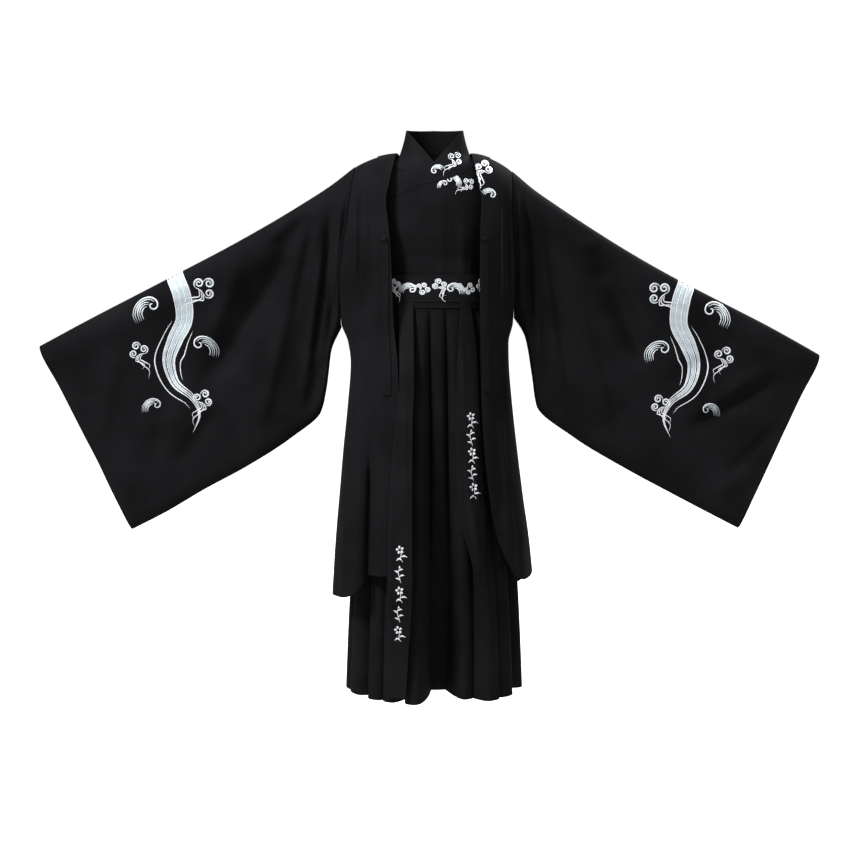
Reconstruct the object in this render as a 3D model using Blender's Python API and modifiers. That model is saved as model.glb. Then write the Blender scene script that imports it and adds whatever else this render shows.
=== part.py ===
"""A hanfu set of thin black cloth, filled out as if it were worn: an open outer robe with wide sleeves,
an inner top whose long collar crosses over itself, a pleated skirt, and a sash wound twice round the waist.

Metres, +Z up. The front faces -Y, and the origin is the middle of the base of the neck. Left and right are
the wearer's, so the left side is +X. Every piece is one wall of cloth, a grid of points placed by a function
of the garment's sizes and then given its thickness.
"""

from collections import namedtuple

import bpy
import numpy as np

CLOTH = 0.0015  # thickness of every wall
LAYER = 0.0019  # from the middle of one layer to the middle of the next
SEAM = 0.0002  # half the gap between two pieces that meet edge to edge
RIGHT, LEFT = -1, 1  # the wearer's sides, as signs of x
FRONT, BACK = -1, 1  # as signs of y

# The robe
ROUNDNESS = 2.3  # exponent of the body's cross-section, 2 for an ellipse
NECK_HALF = 0.0901  # from the middle to where the front edges cross the shoulder
NECK_Z, NECK_Y, NECK_DEEP, NECK_DROP = 0.010, 0.012, 0.078, 0.012
SHOULDER = 0.25  # part of the armhole over which the cloth turns from the shoulder to the chest
SHOULDER_ROUND = 1.8  # above 1, the shoulder line is arched rather than straight
ARMHOLE_OPEN = 0.066  # half of its widest opening, front to back
BAND = 0.045
BAND_SHARE = 0.25  # part of a front's columns that the band covers
Pair = namedtuple("Pair", "right left")
TIP_Z = Pair(-0.022, -0.033)
NOTCH_Z = Pair(-0.412, -0.390)  # where the sleeve leaves the side seam

Width = namedtuple("Width", "z right left")
ROBE_WIDTH = [
    Width(-1.080, 0.2510, 0.2480),
    Width(-0.930, 0.2416, 0.2330),
    Width(-0.820, 0.2320, 0.2170),
    Width(-0.710, 0.2220, 0.2030),
    Width(-0.600, 0.2110, 0.1910),
    Width(-0.500, 0.2040, 0.1830),
    Width(-0.450, 0.2100, 0.1820),
    Width(-0.400, 0.2270, 0.1930),
    Width(-0.300, 0.2290, 0.1960),
    Width(-0.220, 0.2200, 0.1920),
    Width(-0.160, 0.2100, 0.1880),
    Width(-0.080, 0.2000, 0.1870),
    Width(-0.030, 0.1910, 0.1890),
]
FRONT_EDGE = [
    Width(-1.000, 0.0800, 0.1535),
    Width(-0.920, 0.0800, 0.1525),
    Width(-0.880, 0.0800, 0.1410),
    Width(-0.830, 0.0800, 0.1325),
    Width(-0.770, 0.0802, 0.1250),
    Width(-0.700, 0.0805, 0.1180),
    Width(-0.600, 0.0820, 0.1125),
    Width(-0.500, 0.0860, 0.1100),
    Width(-0.400, 0.0960, 0.1085),
    Width(-0.250, 0.1020, 0.1080),
    Width(-0.185, 0.1065, 0.1085),
    Width(-0.110, 0.1140, 0.1115),
    Width(-0.065, 0.1060, 0.1020),
    Width(-0.010, 0.0952, 0.0936),
    Width(0.010, 0.0908, 0.0902),
]
Depth = namedtuple("Depth", "z front back")
ROBE_DEPTH = [
    Depth(-1.080, 0.2190, 0.2050),
    Depth(-1.000, 0.2120, 0.1970),
    Depth(-0.800, 0.1880, 0.1740),
    Depth(-0.600, 0.1620, 0.1520),
    Depth(-0.450, 0.1430, 0.1320),
    Depth(-0.300, 0.1340, 0.1200),
    Depth(-0.200, 0.1370, 0.1220),
    Depth(-0.100, 0.1280, 0.1200),
]
Hem = namedtuple("Hem", "share right left")
FRONT_HEM = [
    Hem(0.00, -0.990, -0.920),
    Hem(0.13, -0.991, -0.974),
    Hem(0.25, -0.992, -1.006),
    Hem(0.34, -0.994, -1.011),
    Hem(0.44, -1.028, -1.013),
    Hem(0.60, -1.053, -1.013),
    Hem(0.80, -1.062, -1.010),
    Hem(1.00, -1.066, -1.006),
]
BACK_HEM = -1.085

# Folds, from one place to another as seen from the front, and how far they stand out (below 0, sink in)
Fold = namedtuple("Fold", "x0 z0 x1 z1 height width")
ROBE_FRONT_FOLDS = [
    Fold(-0.146, -0.68, -0.157, -1.10, -0.016, 0.013),
    Fold(-0.122, -0.45, -0.130, -1.10, 0.006, 0.020),
    Fold(-0.200, -0.50, -0.205, -1.10, 0.010, 0.024),
    Fold(-0.150, -0.10, -0.165, -0.42, -0.007, 0.016),
    Fold(0.150, -0.08, 0.150, -0.45, -0.007, 0.014),
    Fold(0.170, -0.36, 0.185, -1.10, 0.008, 0.022),
    Fold(0.152, -0.50, 0.158, -0.95, -0.010, 0.016),
]
ROBE_BACK_FOLDS = [
    Fold(-0.135, -0.16, -0.165, -1.15, 0.013, 0.028),
    Fold(-0.075, -0.30, -0.090, -1.15, -0.012, 0.026),
    Fold(-0.012, -0.20, -0.020, -1.15, 0.014, 0.030),
    Fold(0.055, -0.34, 0.065, -1.15, -0.013, 0.026),
    Fold(0.115, -0.14, 0.140, -1.15, 0.013, 0.028),
    Fold(0.165, -0.50, 0.195, -1.15, -0.010, 0.020),
]

# The sleeves: sections from the armhole to the cuff, each from the top fold to the lower one
SLEEVE_SEAM = 0.0020
Section = namedtuple("Section", "top_x top_z low_x low_z arm bag")
SLEEVE_RIGHT = [
    Section(-0.191, -0.022, -0.2270, -0.412, 0.056, 0.020),
    Section(-0.256, -0.070, -0.2520, -0.470, 0.052, 0.020),
    Section(-0.322, -0.112, -0.2640, -0.562, 0.048, 0.019),
    Section(-0.390, -0.153, -0.2780, -0.621, 0.045, 0.018),
    Section(-0.500, -0.215, -0.3540, -0.687, 0.042, 0.017),
    Section(-0.605, -0.270, -0.4600, -0.755, 0.040, 0.016),
    Section(-0.725, -0.332, -0.5670, -0.813, 0.038, 0.015),
    Section(-0.845, -0.394, -0.6600, -0.868, 0.036, 0.015),
    Section(-0.966, -0.459, -0.7440, -0.911, 0.034, 0.016),
]
SLEEVE_LEFT = [
    Section(0.189, -0.033, 0.1930, -0.390, 0.056, 0.020),
    Section(0.245, -0.078, 0.2230, -0.436, 0.052, 0.020),
    Section(0.300, -0.116, 0.2400, -0.530, 0.048, 0.019),
    Section(0.365, -0.159, 0.2520, -0.606, 0.045, 0.018),
    Section(0.470, -0.225, 0.3450, -0.685, 0.042, 0.017),
    Section(0.575, -0.285, 0.4660, -0.758, 0.040, 0.016),
    Section(0.695, -0.347, 0.5750, -0.817, 0.038, 0.015),
    Section(0.820, -0.411, 0.6640, -0.864, 0.036, 0.015),
    Section(0.944, -0.480, 0.7490, -0.908, 0.034, 0.016),
]
SLEEVE_FOLDS = {
    RIGHT: [
        Fold(-0.300, -0.125, -0.395, -0.240, -0.014, 0.030),
        Fold(-0.395, -0.240, -0.585, -0.600, -0.016, 0.040),
        Fold(-0.235, -0.160, -0.262, -0.470, -0.012, 0.018),
        Fold(-0.262, -0.470, -0.318, -0.640, -0.010, 0.020),
        Fold(-0.330, -0.250, -0.400, -0.560, 0.010, 0.034),
        Fold(-0.520, -0.290, -0.690, -0.760, 0.008, 0.050),
    ],
    LEFT: [
        Fold(0.385, -0.205, 0.420, -0.310, -0.012, 0.026),
        Fold(0.420, -0.310, 0.535, -0.520, -0.014, 0.034),
        Fold(0.290, -0.210, 0.465, -0.510, 0.010, 0.030),
        Fold(0.218, -0.090, 0.250, -0.400, -0.010, 0.018),
        Fold(0.605, -0.660, 0.830, -0.540, -0.010, 0.032),
        Fold(0.665, -0.840, 0.815, -0.740, 0.008, 0.030),
    ],
}
SLEEVE_BLEND = 0.16  # part of the sleeve over which the armhole's opening becomes the sleeve's own section
SLEEVE_START = 0.125  # part over which it leaves the armhole seam
SLEEVE_LENGTHS = 17

# Rows and columns of the robe's pieces
ARMHOLE_STEPS = [0, 0.02, 0.06, 0.13, 0.25, 0.37, 0.50, 0.63, 0.76, 0.88, 0.96, 1]
HEM_STEPS = [1.05, 1.13, 1.26, 1.42, 1.60, 1.80, 2.0]
HALF_BACK = [7.5, 14.5, 20.5, 25.7, 34, 43, 52, 61, 70, 79, 90]  # degrees from the middle of the back
BAND_COLUMNS, FRONT_COLUMNS = 3, 9

# The band round the back of the neck
NECK_BAND = namedtuple("NeckBand", "half_turn spread depth lift")(26.5, 17.0, 0.13, 0.0032)
HALF_NECK = [0, 0.031, 0.075, 0.124, 0.20, 0.30, 0.40]
NECK_BAND_ROWS = [0, 0.15, 0.46, 0.73, 1]

# The inner top and its collar: cross-sections from the top of the collar to the hidden hem
Ring = namedtuple("Ring", "z half front back")
TOP_RINGS = [
    Ring(-0.430, 0.1290, 0.0950, 0.0950),
    Ring(-0.375, 0.1340, 0.0975, 0.0975),
    Ring(-0.335, 0.1397, 0.1024, 0.1024),
    Ring(-0.248, 0.1397, 0.1024, 0.1024),
    Ring(-0.222, 0.1480, 0.1100, 0.1045),
    Ring(-0.180, 0.1600, 0.1180, 0.1070),
    Ring(-0.120, 0.1640, 0.1170, 0.1080),
    Ring(-0.090, 0.1600, 0.1120, 0.1050),
    Ring(-0.060, 0.1500, 0.1040, 0.0990),
    Ring(-0.030, 0.1280, 0.0920, 0.0920),
    Ring(0.000, 0.0870, 0.0780, 0.0840),
    Ring(0.020, 0.0790, 0.0700, 0.0780),
    Ring(0.045, 0.0720, 0.0620, 0.0720),
    Ring(0.075, 0.0660, 0.0560, 0.0680),
]
TOP_UPPER = 3  # rows from the neckline down to the first of these levels, which all three panels share
TOP_LEVELS = [-0.160, -0.190, -0.222, -0.248, -0.290, -0.335, -0.380, -0.425]
OVER = 0.0030  # how far the upper front and its collar stand off the lower ones
OVER_Z, OVER_RISE = -0.27, 0.06  # it lies close below this height, and stands off in full this much higher
OVER_TURN, OVER_SPREAD = 40, 48  # degrees from the back where it starts to stand off, and over how many
TOP_COLUMNS, COLLAR_COLUMNS, COLLAR_ROWS = 13, 31, 4
TOP_ARMHOLE = namedtuple("Armhole", "top bottom half_turn")(-0.055, -0.205, 26.0)
# The collar's two edges, by degrees of turn from the middle of the back towards the front
Neckline = namedtuple("Neckline", "turn low high")
NECKLINE = [
    Neckline(0, 0.014, 0.074),
    Neckline(50, 0.009, 0.071),
    Neckline(90, -0.001, 0.067),
    Neckline(125, -0.022, 0.052),
    Neckline(150, -0.043, 0.029),
    Neckline(165, -0.057, 0.009),
    Neckline(175, -0.065, -0.008),
    Neckline(190, -0.073, -0.032),
    Neckline(208, -0.095, -0.041),
    Neckline(235, -0.120, -0.052),
    Neckline(268, -0.138, -0.064),
]
COLLAR_END = Pair(240, 210)  # turns at which the upper end and the hidden lower end stop

# The skirt: the envelope of its pleats
SKIRT_TOP, SKIRT_HEM, BELT_LOW = -0.335, -1.295, -0.366
SKIRT_RINGS = [
    Ring(-1.295, 0.2215, 0.2040, 0.1870),
    Ring(-1.150, 0.2150, 0.1970, 0.1810),
    Ring(-1.000, 0.2060, 0.1870, 0.1720),
    Ring(-0.800, 0.1900, 0.1660, 0.1540),
    Ring(-0.650, 0.1770, 0.1490, 0.1390),
    Ring(-0.550, 0.1680, 0.1370, 0.1290),
    Ring(-0.450, 0.1570, 0.1230, 0.1180),
    Ring(-0.400, 0.1505, 0.1145, 0.1125),
    Ring(-0.366, 0.1436, 0.1063, 0.1063),
    Ring(-0.285, 0.1436, 0.1063, 0.1063),
]
# Each pleat begins at a line from the waist to the hem, in degrees from the front towards the left. At the
# hem the line lies "line" inside the envelope, and the pleat's middle "sunk" inside it.
Pleat = namedtuple("Pleat", "waist hem line sunk")
FRONT_PLEATS = [
    Pleat(-90.0, -90.0, 0.004, 0.004),
    Pleat(-73.5, -73.0, 0.006, 0.003),
    Pleat(-55.0, -51.0, 0.036, 0.003),
    Pleat(-37.5, -36.0, 0.012, 0.004),
    Pleat(-20.7, -22.5, 0.048, 0.002),
    Pleat(-4.3, -4.6, 0.110, 0.142),
    Pleat(11.0, 18.0, 0.110, 0.040),
    Pleat(27.0, 31.0, 0.042, 0.000),
    Pleat(43.5, 47.5, 0.008, 0.002),
    Pleat(60.0, 66.0, 0.050, 0.072),
    Pleat(75.0, 75.5, 0.024, 0.004),
    Pleat(90.0, 90.0, 0.004, 0.004),
]
BACK_PLEATS = [
    Pleat(90.0, 90.0, 0.004, 0.004),
    Pleat(106.0, 105.0, 0.034, 0.020),
    Pleat(122.5, 121.0, 0.042, 0.002),
    Pleat(139.0, 140.0, 0.050, 0.048),
    Pleat(155.5, 154.0, 0.055, 0.004),
    Pleat(172.0, 174.0, 0.060, 0.060),
    Pleat(188.5, 187.0, 0.055, 0.002),
    Pleat(205.0, 208.0, 0.046, 0.036),
    Pleat(221.5, 221.0, 0.044, 0.003),
    Pleat(238.0, 241.0, 0.042, 0.034),
    Pleat(254.0, 255.0, 0.032, 0.006),
    Pleat(270.0, 270.0, 0.004, 0.004),
]
PLEAT_STEPS = [0.0, 0.09, 0.33, 0.67, 0.91]
SIDE_GAP = 0.014  # part of a pleat left open at each side seam
LINE_FAN, SUNK_FAN = 0.75, 1.35  # how fast lines and middles reach their depths on the way down
PLEAT_FLATNESS = 3.2  # exponent of a pleat's section, higher for a flatter floor
LINE_START = 0.004
SKIRT_STEPS = [0, 0.033, 0.08, 0.16, 0.27, 0.41, 0.57, 0.75, 0.89, 1]

# The sash: two turns at the waist, and two ends
UNDER_WRAP = namedtuple("Wrap", "top low")(-0.300, -0.3655)
OUTER_WRAP = namedtuple("Wrap", "top low")(-0.2865, -0.3510)
WAISTBAND = namedtuple("Wrap", "top low")(-0.2885, SKIRT_TOP + 2 * SEAM)
WRAP_PIECES = 48
CHORD = 0.0003  # a turn of the sash stands off this much more, because its flat pieces cut the corner
WRAP_OPENING = 1.6  # degrees left between a turn's two ends, at the back
Strip = namedtuple("Strip", "z right left lift")
SASH_RIGHT = [
    Strip(-0.3516, -0.0850, -0.0500, 0.00),
    Strip(-0.4500, -0.0830, -0.0485, 0.45),
    Strip(-0.5460, -0.0822, -0.0473, 1.00),
    Strip(-0.6200, -0.0900, -0.0505, 1.00),
    Strip(-0.7200, -0.1000, -0.0515, 1.00),
    Strip(-0.8650, -0.1070, -0.0518, 1.00),
    Strip(-0.9950, -0.1090, -0.0512, 1.00),
    Strip(-1.1120, -0.1110, -0.0560, 0.70),
    Strip(-1.1700, -0.1125, -0.0605, 0.50),
    Strip(-1.2350, -0.1165, -0.0640, 0.35),
    Strip(-1.2780, -0.1185, -0.0676, 0.30),
]
SASH_LEFT = [
    Strip(-0.3516, 0.0620, 0.0850, 0.00),
    Strip(-0.4100, 0.0585, 0.0940, 0.00),
    Strip(-0.4600, 0.0550, 0.1000, 0.00),
    Strip(-0.5500, 0.0525, 0.1040, 0.00),
    Strip(-0.6200, 0.0515, 0.1080, 0.00),
    Strip(-0.7200, 0.0520, 0.1130, 0.00),
    Strip(-0.8000, 0.0560, 0.1160, 0.00),
    Strip(-0.8600, 0.0600, 0.1200, 0.00),
    Strip(-0.9400, 0.0820, 0.1200, 0.00),
    Strip(-1.0000, 0.0980, 0.1220, 0.00),
    Strip(-1.0500, 0.1160, 0.1280, 0.00),
]
ROBE_CLEAR = 0.0062  # from the robe's front to a sash end that lies over it
SKIRT_CLEAR = 0.0045  # from the skirt to a sash end, the height of the belt's outer turn
HANG_CLEAR, HANG_FALL = 0.0012, 0.05  # how much further out it hangs below the belt, and over what height
SASH_COLUMNS, SASH_RIGHT_ROWS, SASH_LEFT_ROWS = 4, 23, 19

# The ties at the front edges, measured from the edge into the front
TIE_TOP, TIE_LENGTH = -0.196, 0.376
TIE_WIDTH, TIE_KNOT = 0.0185, 0.009
TIE_LIFT = 0.0009  # more than two layers, as the tie is flatter than the band below it
KNOT = namedtuple("Knot", "height place size")(0.005, 0.02, 0.018)
TIE_ROWS = [0, 0.02, 0.05, 0.09] + list(np.linspace(0.2, 1, 8))
TIE_INSET = Pair(0.0030, -0.0010)
TIE_DRIFT = Pair(0.0160, 0.0020)

# Finishes
Finish = namedtuple("Finish", "red green blue roughness")
CHIFFON = Finish(0.013, 0.012, 0.015, 0.72)
TOP_CLOTH = Finish(0.014, 0.013, 0.016, 0.70)
SASH_CLOTH = Finish(0.016, 0.015, 0.018, 0.66)


# Smooth curves through a table, and the shape of a fold


def through(rows, key, value, at):
    """The table's value at a place between its rows, on a smooth curve that never overshoots them."""
    places = np.array([getattr(row, key) for row in rows], float)
    values = np.array([getattr(row, value) for row in rows], float)
    gaps = np.diff(places)
    slopes = np.diff(values) / gaps
    turns = np.zeros(len(places))
    inner = slopes[:-1] * slopes[1:]
    steady = inner > 0
    turns[1:-1][steady] = 2 * inner[steady] / (slopes[:-1] + slopes[1:])[steady]
    turns[0], turns[-1] = slopes[0], slopes[-1]
    at = np.asarray(at, float)
    i = np.clip(np.searchsorted(places, at) - 1, 0, len(gaps) - 1)
    t = np.clip((at - places[i]) / gaps[i], 0, 1)
    start = (1 + 2 * t) * (1 - t) ** 2 * values[i] + t * (1 - t) ** 2 * gaps[i] * turns[i]
    return start + t * t * (3 - 2 * t) * values[i + 1] + t * t * (t - 1) * gaps[i] * turns[i + 1]


def smooth(t):
    t = np.clip(t, 0, 1)
    return t * t * (3 - 2 * t)


def quarter(t):
    """Rises from 0 to 1 like a quarter of a circle, steep at first."""
    return np.sqrt(1 - (1 - np.clip(t, 0, 1)) ** 2)


def folds_at(folds, x, z):
    """The height of all the folds of a table at points seen from the front."""
    height = np.zeros(np.broadcast(x, z).shape)
    for fold in folds:
        run_x, run_z = fold.x1 - fold.x0, fold.z1 - fold.z0
        along = ((x - fold.x0) * run_x + (z - fold.z0) * run_z) / (run_x**2 + run_z**2)
        near = np.clip(along, 0, 1)
        away = np.hypot(x - fold.x0 - near * run_x, z - fold.z0 - near * run_z)
        fade = smooth(near / 0.3) if fold.z1 < -1.05 else smooth(near / 0.3) * smooth((1 - near) / 0.3)
        height += fold.height * fade * np.exp(-((away / fold.width) ** 2))
    return height


def outwards(place, across, down, distance):
    """A surface moved along its own normal, which points away from the body where the columns run to +X."""
    step = 1e-4
    east = place(across + step, down) - place(across - step, down)
    south = place(across, down + step) - place(across, down - step)
    normal = np.cross(east, south, axis=0)
    normal /= np.linalg.norm(normal, axis=0)
    return place(across, down) + distance * normal


# Making a wall of cloth


def finish_of(name, finish):
    material = bpy.data.materials.new(name)
    material.use_nodes = True
    shader = material.node_tree.nodes["Principled BSDF"]
    shader.inputs["Base Color"].default_value = (finish.red, finish.green, finish.blue, 1)
    shader.inputs["Roughness"].default_value = finish.roughness
    shader.inputs["Metallic"].default_value = 0
    return material


def cloth(name, place, across, down, finish, ring=False):
    """One piece: a grid of columns and rows, each point put in its place, and then made a wall."""
    bpy.ops.mesh.primitive_grid_add(x_subdivisions=len(across) - 1, y_subdivisions=len(down) - 1, size=1)
    piece = bpy.context.object
    piece.name = name
    mesh = piece.data
    flat = np.empty(len(mesh.vertices) * 3)
    mesh.vertices.foreach_get("co", flat)
    flat = flat.reshape(-1, 3)
    column = np.rint((flat[:, 0] + 0.5) * (len(across) - 1)).astype(int)
    row = np.rint((0.5 - flat[:, 1]) * (len(down) - 1)).astype(int)
    points = place(np.asarray(across, float)[column], np.asarray(down, float)[row])
    mesh.vertices.foreach_set("co", points.T.ravel())
    if ring:
        weld = piece.modifiers.new("close the ring", "WELD")
        weld.merge_threshold = 0.00005
    wall = piece.modifiers.new("cloth", "SOLIDIFY")
    wall.thickness = CLOTH
    wall.offset = 0
    mesh.shade_smooth()
    mesh.materials.append(finish_of(name, finish))
    for collection in piece.users_collection:
        collection.objects.unlink(piece)
    hanfu.objects.link(piece)
    return piece


# The robe's body


def side_of(pair, side):
    return pair.right if side == RIGHT else pair.left


def robe_half(z, side):
    return through(ROBE_WIDTH, "z", "right" if side == RIGHT else "left", z)


def armhole_gap(v):
    """Half the armhole's opening, front to back, from the shoulder (0) to the notch (1)."""
    fall = 1 - np.clip((v - SHOULDER) / (1 - SHOULDER), 0, 1) ** 1.6
    return ARMHOLE_OPEN * quarter(v / SHOULDER) * fall


def edge_level(v, side, hem):
    """Height of a row at the side: down the armhole to the notch at 1, then down to the hem at 2."""
    tip, notch = side_of(TIP_Z, side), side_of(NOTCH_Z, side)
    return np.where(v <= 1, tip + (notch - tip) * v, notch + (hem - notch) * (v - 1))


def robe_body(turn, v, level, half, face):
    """A point of the robe's body. The turn is 0 in the middle and 90 degrees at the sides."""
    angle = np.radians(np.abs(turn))
    flank = np.sin(angle) ** (2 / ROUNDNESS)
    belly = np.clip(np.cos(angle), 0, 1) ** (2 / ROUNDNESS)
    x = np.sign(turn) * half * flank
    depth = through(ROBE_DEPTH, "z", "front" if face == FRONT else "back", level)
    gap = armhole_gap(np.maximum(v, SHOULDER)) * (v < 1)
    y = face * (gap + (depth - gap) * belly)
    tip = np.where(turn < 0, TIP_Z.right, TIP_Z.left)
    out = np.clip((np.abs(x) - NECK_HALF) / (half - NECK_HALF), 0, 1)
    hollow = np.sqrt(np.clip(1 - (x / NECK_HALF) ** 2, 0, 1))
    ridge_z = NECK_Z + (tip - NECK_Z) * out**SHOULDER_ROUND - NECK_DROP * hollow
    ridge_y = NECK_Y * (1 - out) + NECK_DEEP * hollow
    drop = np.clip(v / SHOULDER, 0, 1)
    z = np.where(v < SHOULDER, ridge_z + (level - ridge_z) * drop, level)
    y = np.where(v < SHOULDER, ridge_y + (y - ridge_y) * quarter(drop), y)
    return x, y + face * SEAM, z


def chest_level(v, side):
    """In the shoulder's rows the sizes are those of the row where the chest begins."""
    return edge_level(np.maximum(v, SHOULDER), side, 0)


def robe_front(side):
    def place(u, v):
        hem = through(FRONT_HEM, "share", "right" if side == RIGHT else "left", np.clip(u, 0, 1))
        row = edge_level(v, side, hem)
        level = np.where(v < SHOULDER, chest_level(v, side), row)
        half = robe_half(row, side)
        edge_z = np.where(v < SHOULDER, NECK_Z + (level - NECK_Z) * v / SHOULDER, row)
        edge = through(FRONT_EDGE, "z", "right" if side == RIGHT else "left", edge_z)
        x = edge + BAND * np.clip(u, -1, BAND_SHARE) / BAND_SHARE
        reach = np.degrees(np.arcsin(np.clip(x / half, 0, 1) ** (ROUNDNESS / 2)))
        rest = np.clip((u - BAND_SHARE) / (1 - BAND_SHARE), 0, 1)
        turn = side * (reach + (90 - reach) * rest)
        x, y, z = robe_body(turn, v, level, half, FRONT)
        calm = smooth((1 - u) / 0.2) * smooth((v - SHOULDER) / 0.3)
        y = y - folds_at(ROBE_FRONT_FOLDS, x, z) * calm
        return np.array([x, y, z])

    return place


def robe_back(turn, v):
    share = (1 + np.sin(np.radians(turn))) / 2
    sides = 1 - np.cos(np.radians(turn)) ** 2
    rows = []
    for side in (RIGHT, LEFT):
        seam_hem = through(FRONT_HEM, "share", "right" if side == RIGHT else "left", 1.0)
        rows.append(edge_level(v, side, BACK_HEM + (seam_hem - BACK_HEM) * sides**4))
    row = rows[0] + (rows[1] - rows[0]) * share
    chest = [edge_level(SHOULDER, side, 0) for side in (RIGHT, LEFT)]
    level = np.where(v < SHOULDER, chest[0] + (chest[1] - chest[0]) * share, row)
    half = np.where(turn < 0, robe_half(row, RIGHT), robe_half(row, LEFT))
    x, y, z = robe_body(turn, v, level, half, BACK)
    calm = smooth((90 - np.abs(turn)) / 25) * smooth((v - SHOULDER) / 0.3)
    return np.array([x, y + folds_at(ROBE_BACK_FOLDS, x, z) * calm, z])


def front_columns():
    band = list(np.linspace(0, BAND_SHARE, BAND_COLUMNS))
    return band + list(np.linspace(BAND_SHARE, 1, FRONT_COLUMNS)[1:])


def front_band(side):
    def place(u, v):
        return outwards(robe_front(side), u, v, -side * LAYER)

    return place


def neck_band(along, wide):
    """Along the back of the neck from ridge to ridge, and from the neckline outwards."""
    turn = -np.cos(np.pi * along) * (NECK_BAND.half_turn + NECK_BAND.spread * wide)
    v = NECK_BAND.depth * wide * np.clip(np.sin(np.pi * along), 0, 1) ** 0.8
    x, y, z = outwards(robe_back, turn, np.maximum(v, 0.0002), NECK_BAND.lift)
    return np.array([x, y + 4 * SEAM, z])


def tie(side):
    """Lies on the band, from a small knot at the front edge down to a flat cut end."""

    def place(wide, down):
        length = TIE_TOP - TIE_LENGTH * down
        hem = through(FRONT_HEM, "share", "right" if side == RIGHT else "left", 0.1)
        v = 1 + (length - side_of(NOTCH_Z, side)) / (hem - side_of(NOTCH_Z, side))
        tip = side_of(TIP_Z, side)
        v = np.where(v < 1, (length - tip) / (side_of(NOTCH_Z, side) - tip), v)
        width = TIE_KNOT + (TIE_WIDTH - TIE_KNOT) * smooth(down / 0.07)
        middle = side_of(TIE_INSET, side) + side_of(TIE_DRIFT, side) * down + TIE_WIDTH / 2
        u = (middle + (wide - 0.5) * width) / BAND * BAND_SHARE
        knot = KNOT.height * np.exp(-(((down - KNOT.place) / KNOT.size) ** 2))
        on_edge = np.maximum(u, 0.004)
        base = outwards(robe_front(side), on_edge, v, -side * (2 * LAYER + TIE_LIFT + knot))
        base[0] += side * (u - on_edge) * BAND / BAND_SHARE
        return base

    return place


# The sleeves


def sleeve(side):
    sections = SLEEVE_RIGHT if side == RIGHT else SLEEVE_LEFT
    placed = namedtuple("Placed", ("t",) + Section._fields)
    rows = [placed(i / (len(sections) - 1), *section) for i, section in enumerate(sections)]

    def place(ring, t):
        """Round the sleeve: 0 to 1 down the front face, 1 to 2 up the back. t runs from armhole to cuff."""
        face = np.where(ring < 1, FRONT, BACK)
        v = np.where(ring < 1, ring, 2 - ring)
        top_x, top_z, low_x, low_z, arm, bag = (through(rows, "t", name, t) for name in Section._fields)
        x, z = top_x + (low_x - top_x) * v, top_z + (low_z - top_z) * v
        first_x = rows[0].top_x + (rows[0].low_x - rows[0].top_x) * v
        drop = v * np.hypot(low_x - top_x, low_z - top_z)
        round_arm = arm * quarter(drop / arm)
        below = bag + (arm - bag) * np.exp(-((np.maximum(drop - arm, 0) / (1.5 * arm)) ** 2))
        half = np.where(drop < arm, round_arm, below) * quarter((1 - v) / 0.07)
        seam_x = side * robe_half(edge_level(v, side, 0), side)
        near = smooth(t / SLEEVE_BLEND)
        half = armhole_gap(v) + (half - armhole_gap(v)) * near
        x = x + (seam_x + side * SLEEVE_SEAM - first_x) * (1 - smooth(t / SLEEVE_START))
        sway = folds_at(SLEEVE_FOLDS[side], x, z) * smooth(t / 0.12) * smooth((1 - t) / 0.10 + 0.25)
        sway = sway * smooth(v / 0.12)
        return np.array([x, face * half - sway, z])

    return place


# The inner top, its collar, the waist and the skirt


def ring_point(rings, turn, z, lift=0.0):
    """A point on the rings at a turn in degrees from the middle of the back, moved out by a lift."""
    angle = np.radians(turn)
    half = through(rings, "z", "half", z)
    depth = np.where(np.cos(angle) > 0, through(rings, "z", "back", z), through(rings, "z", "front", z))
    x, y = half * np.sin(angle), depth * np.cos(angle)
    out_x, out_y = depth * np.sin(angle), half * np.cos(angle)
    length = np.hypot(out_x, out_y)
    return np.array([x + lift * out_x / length, y + lift * out_y / length, z + 0 * x])


def over_lift(turn, z):
    """The upper front and the collar rise over the lower ones past the shoulder, and lie close below."""
    height = LAYER + (OVER - LAYER) * smooth((z - OVER_Z) / OVER_RISE)
    return height * smooth((turn - OVER_TURN) / OVER_SPREAD)


def collar(along, wide):
    """One long band, from its hidden end under the left front, round the neck, to the right side."""
    turn = (COLLAR_END.right + COLLAR_END.left) * along - COLLAR_END.left
    low = through(NECKLINE, "turn", "low", np.abs(turn)) + SEAM * 4
    high = through(NECKLINE, "turn", "high", np.abs(turn))
    z = low + (high - low) * wide
    return ring_point(TOP_RINGS, turn, z, over_lift(turn, z))


def top_front(side):
    """From its own shoulder across the chest to the other side."""

    def place(across, down):
        turn = 90 + 180 * across
        top = through(NECKLINE, "turn", "low", turn) - SEAM
        z = top_row(top, down)
        hole = top_armhole(z)
        turn = np.where(across < 0.5, np.maximum(turn, 90 + hole), np.minimum(turn, 270 - hole))
        return ring_point(TOP_RINGS, side * turn, z, over_lift(turn, z) * (side == LEFT))

    return place


def top_row(top, row):
    """Height of a row: evenly down from the neckline, and then at the shared levels."""
    upper = top + (TOP_LEVELS[0] - top) * np.clip(row / TOP_UPPER, 0, 1)
    return np.where(row < TOP_UPPER, upper, np.interp(row - TOP_UPPER, range(len(TOP_LEVELS)), TOP_LEVELS))


def top_armhole(z):
    """Half the armhole's turn, at a height."""
    middle = (TOP_ARMHOLE.top + TOP_ARMHOLE.bottom) / 2
    reach = (TOP_ARMHOLE.top - TOP_ARMHOLE.bottom) / 2
    open_part = np.sqrt(np.clip(1 - ((z - middle) / reach) ** 2, 0, 1))
    return TOP_ARMHOLE.half_turn * open_part + 0.12


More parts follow.
